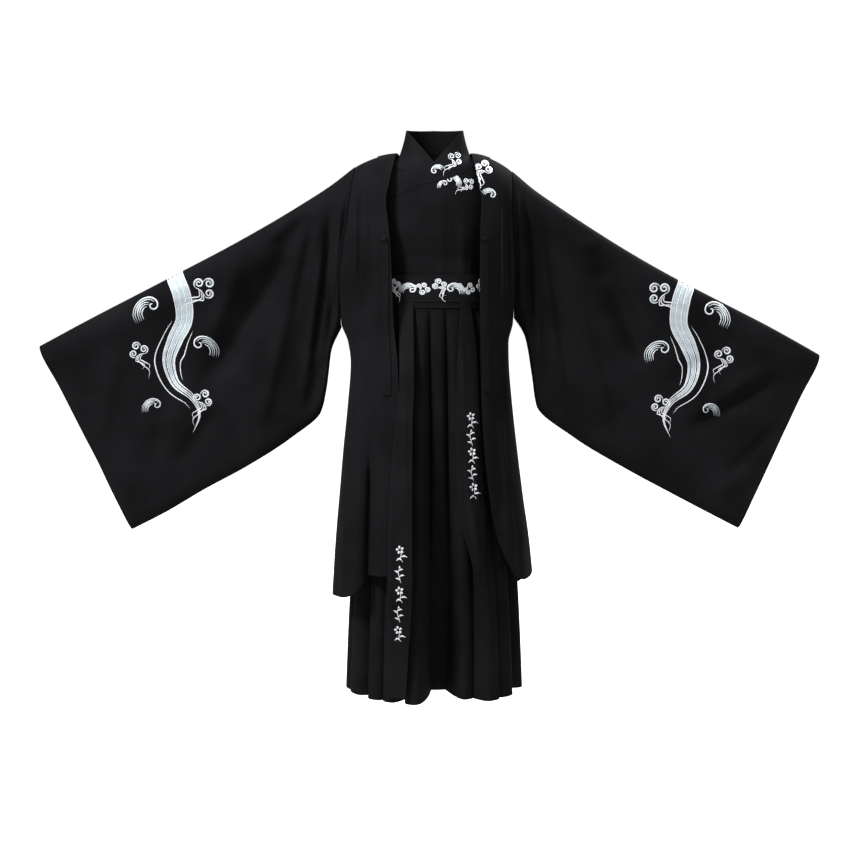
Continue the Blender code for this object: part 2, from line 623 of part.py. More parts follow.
def top_back(across, down):
    turn = -90 + 180 * across
    top = through(NECKLINE, "turn", "low", np.abs(turn)) - SEAM
    z = top_row(top, down)
    limit = 90 - top_armhole(z)
    return ring_point(TOP_RINGS, np.clip(turn, -limit, limit), z)


def skirt(pleats):
    """The columns count pleats, and the rows run from the waist (0) to the hem (1)."""

    def place(count, down):
        first = np.clip(np.floor(count + 1e-9).astype(int), 0, len(pleats) - 2)
        t = count - first
        columns = {name: np.array([getattr(p, name) for p in pleats]) for name in Pleat._fields}
        z = SKIRT_TOP + (SKIRT_HEM - SKIRT_TOP) * down
        waist = columns["waist"][first] * (1 - t) + columns["waist"][first + 1] * t
        hem = columns["hem"][first] * (1 - t) + columns["hem"][first + 1] * t
        turn = 180 - (waist + (hem - waist) * smooth(down * 1.1))
        line = np.where(t < 0.5, columns["line"][first], columns["line"][first + 1])
        open_out = np.maximum(BELT_LOW - z, 0) / (BELT_LOW - SKIRT_HEM)
        sunk = columns["sunk"][first] * open_out**SUNK_FAN
        line = line * open_out**LINE_FAN + LINE_START * smooth(open_out / 0.03)
        bend = np.abs(2 * t - 1) ** PLEAT_FLATNESS
        inset = sunk + (np.maximum(line, sunk) - sunk) * bend
        return ring_point(SKIRT_RINGS, turn, z, -inset)

    return place


def round_waist(wrap, lift):
    """An upright band round the waist, the given lift outside the skirt's top."""

    def place(turn, down):
        x, y, _ = ring_point(SKIRT_RINGS, turn, np.full(np.shape(turn), SKIRT_TOP), lift)
        return np.array([x, y, wrap.top + (wrap.low - wrap.top) * down])

    return place


def robe_front_y(x, z):
    """How far back the robe's front lies at a place seen from the front."""
    half = np.where(x < 0, robe_half(z, RIGHT), robe_half(z, LEFT))
    depth = through(ROBE_DEPTH, "z", "front", z)
    belly = np.clip(1 - (np.abs(x) / half) ** ROUNDNESS, 0, 1) ** (1 / ROUNDNESS)
    return -depth * belly - folds_at(ROBE_FRONT_FOLDS, x, z)


def skirt_front_y(x, z):
    half, depth = through(SKIRT_RINGS, "z", "half", z), through(SKIRT_RINGS, "z", "front", z)
    return -depth * np.sqrt(np.clip(1 - (x / half) ** 2, 0, 1))


def sash_end(strips):
    """Hangs from the belt in front of the skirt; where its lift is 1 it lies over the robe's front."""

    def place(wide, down):
        z = strips[0].z + (strips[-1].z - strips[0].z) * down
        rows = strips[::-1]
        right, left, lift = (through(rows, "z", name, z) for name in ("right", "left", "lift"))
        x = right + (left - right) * wide
        below_belt = smooth((strips[0].z - z) / HANG_FALL)
        on_skirt = skirt_front_y(x, z) - SKIRT_CLEAR - HANG_CLEAR * below_belt
        on_robe = np.minimum(robe_front_y(x, z) - ROBE_CLEAR, on_skirt)
        return np.array([x, on_skirt + (on_robe - on_skirt) * lift, z])

    return place


# The set, piece by piece

for old in list(bpy.data.objects):
    bpy.data.objects.remove(old, do_unlink=True)
hanfu = bpy.data.collections.new("hanfu")
bpy.context.scene.collection.children.link(hanfu)

body_rows = ARMHOLE_STEPS + HEM_STEPS
back_columns = [-turn for turn in HALF_BACK[::-1]] + [0] + HALF_BACK
cloth("robe_back", robe_back, back_columns, body_rows, CHIFFON)
neck_columns = HALF_NECK + [0.5] + [1 - share for share in HALF_NECK[::-1]]
cloth("robe_band_neck", neck_band, neck_columns, NECK_BAND_ROWS, CHIFFON)
band_columns = np.linspace(0, BAND_SHARE, BAND_COLUMNS)
lengths = np.linspace(0, 1, SLEEVE_LENGTHS)
sleeve_ring = ARMHOLE_STEPS + [2 - v for v in ARMHOLE_STEPS[-2::-1]]
for side, word in ((RIGHT, "right"), (LEFT, "left")):
    cloth(f"robe_front_{word}", robe_front(side), front_columns(), body_rows, CHIFFON)
    cloth(f"robe_band_{word}", front_band(side), band_columns, body_rows, CHIFFON)
    cloth(f"robe_tie_{word}", tie(side), [0, 1], TIE_ROWS, CHIFFON)
    cloth(f"robe_sleeve_{word}", sleeve(side), sleeve_ring, lengths, CHIFFON, ring=True)

top_columns = np.linspace(0, 1, TOP_COLUMNS)
top_rows = range(TOP_UPPER + len(TOP_LEVELS))
cloth("top_back", top_back, top_columns, top_rows, TOP_CLOTH)
cloth("top_front_under", top_front(RIGHT), top_columns, top_rows, TOP_CLOTH)
cloth("top_front_over", top_front(LEFT), top_columns, top_rows, TOP_CLOTH)
cloth("top_collar", collar, np.linspace(0, 1, COLLAR_COLUMNS), np.linspace(0, 1, COLLAR_ROWS), TOP_CLOTH)

pleat_columns = [count + step for count in range(len(FRONT_PLEATS) - 1) for step in PLEAT_STEPS]
pleat_columns = pleat_columns + [len(FRONT_PLEATS) - 1]
pleat_columns[0] += SIDE_GAP
pleat_columns[-1] -= SIDE_GAP
cloth("skirt_front", skirt(FRONT_PLEATS), pleat_columns, SKIRT_STEPS, CHIFFON)
cloth("skirt_back", skirt(BACK_PLEATS), pleat_columns, SKIRT_STEPS, CHIFFON)
wrap_turns = np.linspace(WRAP_OPENING / 2, 360 - WRAP_OPENING / 2, WRAP_PIECES + 1)
cloth("skirt_waistband", round_waist(WAISTBAND, CHORD), wrap_turns, [0, 1], CHIFFON)
cloth("belt_wrap_under", round_waist(UNDER_WRAP, LAYER + CHORD), wrap_turns, [0, 1], SASH_CLOTH)
cloth("belt_wrap_outer", round_waist(OUTER_WRAP, 2 * LAYER + CHORD), wrap_turns, [0, 1], SASH_CLOTH)
sash_columns = np.linspace(0, 1, SASH_COLUMNS)
cloth("sash_end_right", sash_end(SASH_RIGHT), sash_columns, np.linspace(0, 1, SASH_RIGHT_ROWS), SASH_CLOTH)
cloth("sash_end_left", sash_end(SASH_LEFT), sash_columns, np.linspace(0, 1, SASH_LEFT_ROWS), SASH_CLOTH)
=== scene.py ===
from collections import namedtuple

import bpy
import numpy as np
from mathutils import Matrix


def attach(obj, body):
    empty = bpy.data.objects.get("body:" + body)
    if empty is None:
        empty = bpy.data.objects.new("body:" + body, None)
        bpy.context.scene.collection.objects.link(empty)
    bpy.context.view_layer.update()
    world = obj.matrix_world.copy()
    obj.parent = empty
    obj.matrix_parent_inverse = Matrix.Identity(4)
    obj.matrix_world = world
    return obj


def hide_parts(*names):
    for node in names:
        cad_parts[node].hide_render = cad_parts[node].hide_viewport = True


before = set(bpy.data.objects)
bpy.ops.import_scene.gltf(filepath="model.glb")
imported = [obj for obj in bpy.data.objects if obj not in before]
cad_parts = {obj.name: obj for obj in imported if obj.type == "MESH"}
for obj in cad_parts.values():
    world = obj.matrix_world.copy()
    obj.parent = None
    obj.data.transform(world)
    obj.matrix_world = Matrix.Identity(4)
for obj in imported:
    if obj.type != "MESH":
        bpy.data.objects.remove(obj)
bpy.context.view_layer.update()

# The robe's body: a back and two open fronts of black crepe chiffon. They are cut wide, sewn at the
# shoulders and down the sides below the sleeves, and hang in a few long soft folds. The hems are turned up
# and stitched.
LAYER = 0.0019  # from the middle of one layer to the middle of the next
SEAM = 0.0002  # half the gap between two pieces that meet edge to edge
RIGHT, LEFT = -1, 1  # the wearer's sides, as signs of x
FRONT, BACK = -1, 1  # as signs of y
ROUNDNESS = 2.3  # exponent of the body's cross-section, 2 for an ellipse
NECK_HALF = 0.0901  # from the middle to where the front edges cross the shoulder
NECK_Z, NECK_Y = 0.010, 0.012  # height of the shoulder's inner end, and how far behind the middle it lies
NECK_DEEP, NECK_DROP = 0.078, 0.012  # how much further back and lower the neckline goes at its middle
SHOULDER = 0.25  # part of the armhole over which the cloth turns from the shoulder to the chest
SHOULDER_ROUND = 1.8  # above 1, the shoulder line is arched rather than straight
ARMHOLE_OPEN = 0.066  # half of its widest opening, front to back
ARMHOLE_FALL = 1.6  # above 1, it stays wide for longer on the way down
BAND = 0.045  # width of the bands
BAND_SHARE = 0.25  # part of a front's columns that the band covers
SIDES = {RIGHT: "right", LEFT: "left"}
Pair = namedtuple("Pair", "right left")
TIP_Z = Pair(-0.022, -0.033)  # the shoulder's outer end
NOTCH_Z = Pair(-0.412, -0.390)  # where the sleeve leaves the side seam

Width = namedtuple("Width", "z right left")
ROBE_WIDTH = [
    Width(-1.080, 0.2510, 0.2480),
    Width(-0.930, 0.2416, 0.2330),
    Width(-0.820, 0.2320, 0.2170),
    Width(-0.710, 0.2220, 0.2030),
    Width(-0.600, 0.2110, 0.1910),
    Width(-0.500, 0.2040, 0.1830),
    Width(-0.450, 0.2100, 0.1820),
    Width(-0.400, 0.2270, 0.1930),
    Width(-0.300, 0.2290, 0.1960),
    Width(-0.220, 0.2200, 0.1920),
    Width(-0.160, 0.2100, 0.1880),
    Width(-0.080, 0.2000, 0.1870),
    Width(-0.030, 0.1910, 0.1890),
]
FRONT_EDGE = [
    Width(-1.000, 0.0800, 0.1535),
    Width(-0.920, 0.0800, 0.1525),
    Width(-0.880, 0.0800, 0.1410),
    Width(-0.830, 0.0800, 0.1325),
    Width(-0.770, 0.0802, 0.1250),
    Width(-0.700, 0.0805, 0.1180),
    Width(-0.600, 0.0820, 0.1125),
    Width(-0.500, 0.0860, 0.1100),
    Width(-0.400, 0.0960, 0.1085),
    Width(-0.250, 0.1020, 0.1080),
    Width(-0.185, 0.1065, 0.1085),
    Width(-0.110, 0.1140, 0.1115),
    Width(-0.065, 0.1060, 0.1020),
    Width(-0.010, 0.0952, 0.0936),
    Width(0.010, 0.0908, 0.0902),
]
Depth = namedtuple("Depth", "z front back")
ROBE_DEPTH = [
    Depth(-1.080, 0.2190, 0.2050),
    Depth(-1.000, 0.2120, 0.1970),
    Depth(-0.800, 0.1880, 0.1740),
    Depth(-0.600, 0.1620, 0.1520),
    Depth(-0.450, 0.1430, 0.1320),
    Depth(-0.300, 0.1340, 0.1200),
    Depth(-0.200, 0.1370, 0.1220),
    Depth(-0.100, 0.1280, 0.1200),
]
Hem = namedtuple("Hem", "share right left")
FRONT_HEM = [
    Hem(0.00, -0.990, -0.920),
    Hem(0.13, -0.991, -0.974),
    Hem(0.25, -0.992, -1.006),
    Hem(0.34, -0.994, -1.011),
    Hem(0.44, -1.028, -1.013),
    Hem(0.60, -1.053, -1.013),
    Hem(0.80, -1.062, -1.010),
    Hem(1.00, -1.066, -1.006),
]
BACK_HEM = -1.085
BACK_HEM_CURVE = 4  # exponent of its rise to the fronts' hem, higher for one nearer to the sides
# Folds: from one place to another as seen from the front, how far they stand out (below 0, sink in), how wide
Fold = namedtuple("Fold", "x0 z0 x1 z1 height width")
ROBE_FRONT_FOLDS = [
    Fold(-0.146, -0.68, -0.157, -1.10, -0.016, 0.013),
    Fold(-0.122, -0.45, -0.130, -1.10, 0.006, 0.020),
    Fold(-0.200, -0.50, -0.205, -1.10, 0.010, 0.024),
    Fold(-0.150, -0.10, -0.165, -0.42, -0.007, 0.016),
    Fold(0.150, -0.08, 0.150, -0.45, -0.007, 0.014),
    Fold(0.170, -0.36, 0.185, -1.10, 0.008, 0.022),
    Fold(0.152, -0.50, 0.158, -0.95, -0.010, 0.016),
]
ROBE_BACK_FOLDS = [
    Fold(-0.135, -0.16, -0.165, -1.15, 0.013, 0.028),
    Fold(-0.075, -0.30, -0.090, -1.15, -0.012, 0.026),
    Fold(-0.012, -0.20, -0.020, -1.15, 0.014, 0.030),
    Fold(0.055, -0.34, 0.065, -1.15, -0.013, 0.026),
    Fold(0.115, -0.14, 0.140, -1.15, 0.013, 0.028),
    Fold(0.165, -0.50, 0.195, -1.15, -0.010, 0.020),
]
# Finer creases than the solids have: where the cloth is pulled at the shoulders and hangs from them
FRONT_CREASES = [
    Fold(-0.160, -0.030, -0.152, -0.300, 0.0060, 0.007),
    Fold(-0.176, -0.040, -0.178, -0.340, -0.0067, 0.006),
    Fold(-0.130, -0.060, -0.128, -0.620, -0.0053, 0.009),
    Fold(-0.215, -0.420, -0.222, -0.900, 0.0075, 0.010),
    Fold(-0.178, -0.560, -0.188, -1.100, 0.0090, 0.014),
    Fold(-0.105, -0.700, -0.112, -1.100, -0.0060, 0.012),
    Fold(-0.151, -0.660, -0.160, -1.100, -0.0110, 0.0055),
    Fold(-0.141, -0.640, -0.150, -1.100, 0.0060, 0.0060),
    Fold(-0.228, -0.700, -0.236, -1.100, -0.0075, 0.009),
    Fold(0.158, -0.035, 0.166, -0.400, 0.0067, 0.006),
    Fold(0.172, -0.040, 0.182, -0.420, -0.0075, 0.0055),
    Fold(0.183, -0.150, 0.190, -0.420, 0.0060, 0.006),
    Fold(0.140, -0.060, 0.138, -0.560, 0.0053, 0.008),
    Fold(0.196, -0.560, 0.222, -1.100, 0.0075, 0.011),
    Fold(0.172, -0.760, 0.200, -1.100, -0.0090, 0.010),
    Fold(0.150, -0.420, 0.172, -0.980, -0.0065, 0.006),
]
BACK_CREASES = [
    Fold(-0.170, -0.050, -0.175, -0.420, -0.0063, 0.008),
    Fold(-0.110, -0.080, -0.125, -0.700, 0.0056, 0.011),
    Fold(-0.040, -0.120, -0.050, -0.800, -0.0056, 0.012),
    Fold(0.030, -0.140, 0.028, -0.760, 0.0056, 0.012),
    Fold(0.085, -0.080, 0.095, -0.800, -0.0063, 0.011),
    Fold(0.160, -0.050, 0.168, -0.420, 0.0063, 0.008),
    Fold(-0.205, -0.520, -0.220, -1.150, 0.0084, 0.013),
    Fold(0.190, -0.640, 0.215, -1.150, 0.0084, 0.012),
    Fold(-0.055, -0.760, -0.062, -1.150, 0.0070, 0.013),
    Fold(0.030, -0.820, 0.036, -1.150, -0.0070, 0.012),
    Fold(0.095, -0.860, 0.108, -1.150, 0.0070, 0.012),
]
FOLD_FADE = 0.3  # part of a fold over which it begins and over which it ends
FADELESS_Z = -1.05  # a fold that runs down past this height goes on to the hem
SEAM_CALM, SEAM_FLAT = 0.20, 0.08  # parts of a front, beside its side seam, over which folds and creases end
BACK_CALM, BACK_FLAT = 25, 12  # the same on the back, in degrees
CHEST_CALM = 0.3  # part of the armhole, below the shoulder, over which folds begin
CREASE_TOP, CREASE_RISE = 0.12, 0.2  # creases begin this far down the armhole, over this part of it
BAND_FLAT = 0.12  # part of a front, beside its band, over which creases begin
# Rows down the armhole to the notch at 1, and on to the hem at 2
ARMHOLE_STEPS = [0, 0.02, 0.06, 0.13, 0.25, 0.37, 0.50, 0.63, 0.76, 0.88, 0.96, 1]
HEM_STEPS = [1.05, 1.13, 1.26, 1.42, 1.60, 1.80, 2.0]
HALF_BACK = [7.5, 14.5, 20.5, 25.7, 34, 43, 52, 61, 70, 79, 90]  # degrees from the middle of the back
BAND_COLUMNS, FRONT_COLUMNS = 3, 9
HEM = 0.012  # the turned-up hems
STITCH = 0.0034  # from one machine stitch to the next
STITCH_CUT = -0.35  # below 0, a stitch is longer than the gap after it
STITCH_HALF, FURROW_HALF = 0.0011, 0.004  # half widths of a line of stitches and of the furrow it pulls
LIGHT_PATCH, STITCH_TONE = 1.75, 3  # brightness of lighter patches and of stitches, in tones of the cloth
CLOTH_WALL = 0.0009  # thickness of a visible sheet
EDGE_ANGLE, RING_GAP = 50, 0.00005  # a sharper bend is an edge; points this near each other close a ring
THREADS = 5200.0  # radians of the weave a metre: one thread in 1.2 mm
CREPE_GRAIN, MOTTLING = 620.0, 7.0  # scales of the crepe's grain and of the cloudy tone
TURN = 6.2832  # radians all round
SMALL_STEP = 1e-4  # in columns or rows, to measure a surface's slope


def through(rows, key, value, at):
    """The table's value at a place between its rows, on a smooth curve that never overshoots them."""
    places = np.array([getattr(row, key) for row in rows], float)
    values = np.array([getattr(row, value) for row in rows], float)
    gaps = np.diff(places)
    slopes = np.diff(values) / gaps
    turns = np.zeros(len(places))
    inner = slopes[:-1] * slopes[1:]
    steady = inner > 0
    turns[1:-1][steady] = 2 * inner[steady] / (slopes[:-1] + slopes[1:])[steady]
    turns[0], turns[-1] = slopes[0], slopes[-1]
    at = np.asarray(at, float)
    i = np.clip(np.searchsorted(places, at) - 1, 0, len(gaps) - 1)
    t = np.clip((at - places[i]) / gaps[i], 0, 1)
    start = (1 + 2 * t) * (1 - t) ** 2 * values[i] + t * (1 - t) ** 2 * gaps[i] * turns[i]
    return start + t * t * (3 - 2 * t) * values[i + 1] + t * t * (t - 1) * gaps[i] * turns[i + 1]


def smooth(t):
    t = np.clip(t, 0, 1)
    return t * t * (3 - 2 * t)


def quarter(t):
    """Rises from 0 to 1 like a quarter of a circle, steep at first."""
    return np.sqrt(1 - (1 - np.clip(t, 0, 1)) ** 2)


def folds_at(folds, x, z):
    """The height of all the folds of a table at points seen from the front."""
    height = np.zeros(np.broadcast(x, z).shape)
    for fold in folds:
        run_x, run_z = fold.x1 - fold.x0, fold.z1 - fold.z0
        along = ((x - fold.x0) * run_x + (z - fold.z0) * run_z) / (run_x**2 + run_z**2)
        near = np.clip(along, 0, 1)
        away = np.hypot(x - fold.x0 - near * run_x, z - fold.z0 - near * run_z)
        fade = smooth(near / FOLD_FADE)
        if fold.z1 >= FADELESS_Z:
            fade = fade * smooth((1 - near) / FOLD_FADE)
        height += fold.height * fade * np.exp(-((away / fold.width) ** 2))
    return height


def outwards(place, across, down, distance):
    """A surface moved along its own normal, which points away from the body where the columns run to +X."""
    east = place(across + SMALL_STEP, down) - place(across - SMALL_STEP, down)
    south = place(across, down + SMALL_STEP) - place(across, down - SMALL_STEP)
    normal = np.cross(east, south, axis=0)
    normal /= np.linalg.norm(normal, axis=0)
    return place(across, down) + distance * normal


def finer(places, parts):
    """A list of places with each step cut into equal parts."""
    places = np.asarray(places, float)
    between = [np.linspace(a, b, parts, endpoint=False) for a, b in zip(places[:-1], places[1:])]
    return np.concatenate(between + [places[-1:]])


class Signal:
    """A socket of a material. Arithmetic on it adds Math nodes, and node() adds any other node."""

    def __init__(self, tree, socket=None):
        self.tree, self.socket = tree, socket

    def node(self, kind, sockets=None, output=0, stops=None, **settings):
        made = self.tree.nodes.new(kind)
        for key, value in settings.items():
            setattr(made, key, value)
        if stops:
            while len(made.color_ramp.elements) < len(stops):
                made.color_ramp.elements.new(1.0)
            for element, (position, colour) in zip(made.color_ramp.elements, stops):
                element.position, element.color = position, (*colour, 1)
        for key, value in (sockets or {}).items():
            if isinstance(value, Signal):
                self.tree.links.new(value.socket, made.inputs[key])
            else:
                made.inputs[key].default_value = value
        return Signal(self.tree, made.outputs[output])

    def maths(self, operation, first, second=0.0):
        return self.node("ShaderNodeMath", {0: first, 1: second}, operation=operation)

    def __add__(self, other):
        return self.maths("ADD", self, other)

    def __sub__(self, other):
        return self.maths("SUBTRACT", self, other)

    def __rsub__(self, other):
        return self.maths("SUBTRACT", other, self)

    def __mul__(self, other):
        return self.maths("MULTIPLY", self, other)

    def __truediv__(self, other):
        return self.maths("DIVIDE", self, other)

    __radd__, __rmul__ = __add__, __mul__

    def near(self, place, width):
        """1 where the value is at a place, falling to 0 at the width on both sides."""
        away = self.maths("ABSOLUTE", self - place) / width
        return self.maths("MAXIMUM", 1 - away, 0.0)


def chiffon(name, tone, roughness, stitched=()):
    """Matte crepe chiffon. Each stitched line is an axis of the UV map and a distance along it in metres."""
    material = bpy.data.materials.new(name)
    material.use_nodes = True
    shader = material.node_tree.nodes["Principled BSDF"]
    start = Signal(material.node_tree)
    place = start.node("ShaderNodeTexCoord", output="Object")
    flat = start.node("ShaderNodeTexCoord", output="UV")
    ways = {axis: start.node("ShaderNodeSeparateXYZ", {0: flat}, output=axis) for axis in ("X", "Y")}
    patches = {"Vector": place, "Scale": MOTTLING, "Detail": 4.0, "Roughness": 0.6}
    cloudy = start.node("ShaderNodeTexNoise", patches)
    crepe = start.node("ShaderNodeTexNoise", {"Vector": place, "Scale": CREPE_GRAIN, "Detail": 2.0})
    warp = start.maths("SINE", ways["X"] * THREADS)
    weft = start.maths("SINE", ways["Y"] * THREADS)
    height = crepe * 0.5 + (warp + weft) * 0.06
    thread = 0.0
    for axis, at in stitched:
        along = ways["Y" if axis == "X" else "X"]
        dash = start.maths("GREATER_THAN", start.maths("SINE", along * (TURN / STITCH)), STITCH_CUT)
        line = ways[axis].near(at, STITCH_HALF)
        height = height - ways[axis].near(at, FURROW_HALF) * 0.9 + line * dash * 1.2
        thread = thread + line * dash
    light = tuple(LIGHT_PATCH * part for part in tone)
    stops = [(0.30, tone), (0.72, light)]
    colour = start.node("ShaderNodeValToRGB", {0: cloudy + (crepe - 0.5) * 0.35}, stops=stops)
    if stitched:
        bright = (*(STITCH_TONE * part for part in tone), 1)
        mixed = {"Factor": start.maths("MINIMUM", thread, 1.0) * 0.5, 6: colour, 7: bright}
        colour = start.node("ShaderNodeMix", mixed, output=2, data_type="RGBA")
    bump = start.node("ShaderNodeBump", {"Height": height, "Strength": 0.35, "Distance": 0.0004})
    uneven = cloudy * 0.12 + (roughness - 0.06)
    for socket, signal in (("Base Color", colour), ("Normal", bump), ("Roughness", uneven)):
        start.tree.links.new(signal.socket, shader.inputs[socket])
    shader.inputs["Specular IOR Level"].default_value = 0.004
    shader.inputs["Sheen Weight"].default_value = 0.003
    shader.inputs["Sheen Roughness"].default_value = 0.45
    shader.inputs["Sheen Tint"].default_value = (0.62, 0.62, 0.70, 1)
    return material


def grid(name, columns, rows):
    """A plain grid with so many columns and rows of points, and the column and the row of each point."""
    bpy.ops.object.select_all(action="DESELECT")
    bpy.ops.mesh.primitive_grid_add(x_subdivisions=columns - 1, y_subdivisions=rows - 1, size=1)
    piece = bpy.context.object
    piece.name = name
    flat = np.empty(len(piece.data.vertices) * 3)
    piece.data.vertices.foreach_get("co", flat)
    flat = flat.reshape(-1, 3)
    column = np.rint((flat[:, 0] + 0.5) * (columns - 1)).astype(int)
    return piece, column, np.rint((0.5 - flat[:, 1]) * (rows - 1)).astype(int)


def lay(mesh, points, flat):
    """Puts each point of a grid in its place, and on its place in the UV map, in metres of cloth."""
    mesh.vertices.foreach_set("co", points.ravel())
    corner = np.empty(len(mesh.loops), int)
    mesh.loops.foreach_get("vertex_index", corner)
    mesh.uv_layers.active.data.foreach_set("uv", flat[corner].ravel())


def sheet_of(name, place, across, down, ring=False):
    """A surface with points at the given columns and rows. A ring's two ends are joined."""
    piece, column, row = grid(name, len(across), len(down))
    points = place(np.asarray(across, float)[column], np.asarray(down, float)[row]).T
    net = np.empty((len(down), len(across), 3))
    net[row, column] = points
    wide = np.append(0, np.cumsum(np.linalg.norm(np.diff(net, axis=1), axis=2).mean(axis=0)))
    long = np.append(0, np.cumsum(np.linalg.norm(np.diff(net, axis=0), axis=2).mean(axis=1)))
    lay(piece.data, points, np.stack([wide[column], long[-1] - long[row]], axis=1))
    if ring:
        weld = piece.modifiers.new("close the ring", "WELD")
        weld.merge_threshold = RING_GAP
        bpy.ops.object.modifier_apply(modifier=weld.name)
    return piece


def sewn(piece, node, material, slot, thickness=CLOTH_WALL, **cut):
    """Gives a sheet its thickness, finish and the cloth it was cut from, and hides the node that it stands
    for.
    """
    wall = piece.modifiers.new("thickness", "SOLIDIFY")
    wall.thickness, wall.offset = thickness, 0
    bpy.ops.object.modifier_apply(modifier=wall.name)
    bpy.ops.object.shade_smooth_by_angle(angle=np.radians(EDGE_ANGLE))
    piece.data.materials.clear()
    piece.data.materials.append(material)
    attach(piece, "root")
    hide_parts(node)


def side_of(pair, side):
    return getattr(pair, SIDES[side])


def robe_half(z, side):
    return through(ROBE_WIDTH, "z", SIDES[side], z)


def armhole_gap(v):
    """Half the armhole's opening, front to back, from the shoulder (0) to the notch (1)."""
    fall = 1 - np.clip((v - SHOULDER) / (1 - SHOULDER), 0, 1) ** ARMHOLE_FALL
    return ARMHOLE_OPEN * quarter(v / SHOULDER) * fall


def edge_level(v, side, hem):
    """Height of a row at the side: down the armhole to the notch at 1, then down to the hem at 2."""
    tip, notch = side_of(TIP_Z, side), side_of(NOTCH_Z, side)
    return np.where(v <= 1, tip + (notch - tip) * v, notch + (hem - notch) * (v - 1))


def robe_body(turn, v, level, half, face):
    """A point of the robe's body. The turn is 0 in the middle and 90 degrees at the sides."""
    angle = np.radians(np.abs(turn))
    flank = np.sin(angle) ** (2 / ROUNDNESS)
    belly = np.clip(np.cos(angle), 0, 1) ** (2 / ROUNDNESS)
    x = np.sign(turn) * half * flank
    depth = through(ROBE_DEPTH, "z", "front" if face == FRONT else "back", level)
    gap = armhole_gap(np.maximum(v, SHOULDER)) * (v < 1)
    y = face * (gap + (depth - gap) * belly)
    tip = np.where(turn < 0, TIP_Z.right, TIP_Z.left)
    out = np.clip((np.abs(x) - NECK_HALF) / (half - NECK_HALF), 0, 1)
    hollow = np.sqrt(np.clip(1 - (x / NECK_HALF) ** 2, 0, 1))
    ridge_z = NECK_Z + (tip - NECK_Z) * out**SHOULDER_ROUND - NECK_DROP * hollow
    ridge_y = NECK_Y * (1 - out) + NECK_DEEP * hollow
    drop = np.clip(v / SHOULDER, 0, 1)
    z = np.where(v < SHOULDER, ridge_z + (level - ridge_z) * drop, level)
    y = np.where(v < SHOULDER, ridge_y + (y - ridge_y) * quarter(drop), y)
    return x, y + face * SEAM, z


def chest_level(v, side):
    """In the shoulder's rows the sizes are those of the row where the chest begins."""
    return edge_level(np.maximum(v, SHOULDER), side, 0)


def robe_front(side):
    def place(u, v):
        hem = through(FRONT_HEM, "share", SIDES[side], np.clip(u, 0, 1))
        row = edge_level(v, side, hem)
        level = np.where(v < SHOULDER, chest_level(v, side), row)
        half = robe_half(row, side)
        edge_z = np.where(v < SHOULDER, NECK_Z + (level - NECK_Z) * v / SHOULDER, row)
        edge = through(FRONT_EDGE, "z", SIDES[side], edge_z)
        x = edge + BAND * np.clip(u, -1, BAND_SHARE) / BAND_SHARE
        reach = np.degrees(np.arcsin(np.clip(x / half, 0, 1) ** (ROUNDNESS / 2)))
        rest = np.clip((u - BAND_SHARE) / (1 - BAND_SHARE), 0, 1)
        turn = side * (reach + (90 - reach) * rest)
        x, y, z = robe_body(turn, v, level, half, FRONT)
        calm = smooth((1 - u) / SEAM_CALM) * smooth((v - SHOULDER) / CHEST_CALM)
        y = y - folds_at(ROBE_FRONT_FOLDS, x, z) * calm
        creases = folds_at(FRONT_CREASES, x, z) * smooth((1 - u) / SEAM_FLAT)
        y = y - creases * smooth((v - CREASE_TOP) / CREASE_RISE) * smooth((u - BAND_SHARE) / BAND_FLAT)
        return np.array([x, y, z])

    return place


def robe_back(turn, v):
    share = (1 + np.sin(np.radians(turn))) / 2
    sides = 1 - np.cos(np.radians(turn)) ** 2
    rows = []
    for side in SIDES:
        seam_hem = through(FRONT_HEM, "share", SIDES[side], 1.0)
        rows.append(edge_level(v, side, BACK_HEM + (seam_hem - BACK_HEM) * sides**BACK_HEM_CURVE))
    row = rows[0] + (rows[1] - rows[0]) * share
    chest = [edge_level(SHOULDER, side, 0) for side in SIDES]
    level = np.where(v < SHOULDER, chest[0] + (chest[1] - chest[0]) * share, row)
    half = np.where(turn < 0, robe_half(row, RIGHT), robe_half(row, LEFT))
    x, y, z = robe_body(turn, v, level, half, BACK)
    calm = smooth((90 - np.abs(turn)) / BACK_CALM) * smooth((v - SHOULDER) / CHEST_CALM)
    fine = smooth((90 - np.abs(turn)) / BACK_FLAT) * smooth((v - CREASE_TOP) / CREASE_RISE)
    return np.array([x, y + folds_at(ROBE_BACK_FOLDS, x, z) * calm + folds_at(BACK_CREASES, x, z) * fine, z])


body_rows = finer(ARMHOLE_STEPS + HEM_STEPS, 5)
back_columns = finer([-turn for turn in HALF_BACK[::-1]] + [0] + HALF_BACK, 7)
band_columns = np.linspace(0, BAND_SHARE, BAND_COLUMNS)
front_columns = finer(np.append(band_columns, np.linspace(BAND_SHARE, 1, FRONT_COLUMNS)[1:]), 7)
black = (0.0026, 0.0026, 0.0029)
robe_cloth = chiffon("robe_chiffon", black, 0.82, stitched=[("Y", HEM)])
sewn(
    sheet_of("robe_back_cloth", robe_back, back_columns, body_rows), "robe_back", robe_cloth, "robe_cloth",
    flat=(0.74, 1.16), held="hung", rests_on=["top_collar"], area=0.64,
)
for side, size, area in ((RIGHT, (0.26, 1.16), 0.22), (LEFT, (0.22, 1.12), 0.17)):
    name = f"robe_front_{SIDES[side]}"
    piece = sheet_of(f"{name}_cloth", robe_front(side), front_columns, body_rows)
    sewn(piece, name, robe_cloth, "robe_cloth", flat=size, held="hung", rests_on=["robe_back"], area=area)

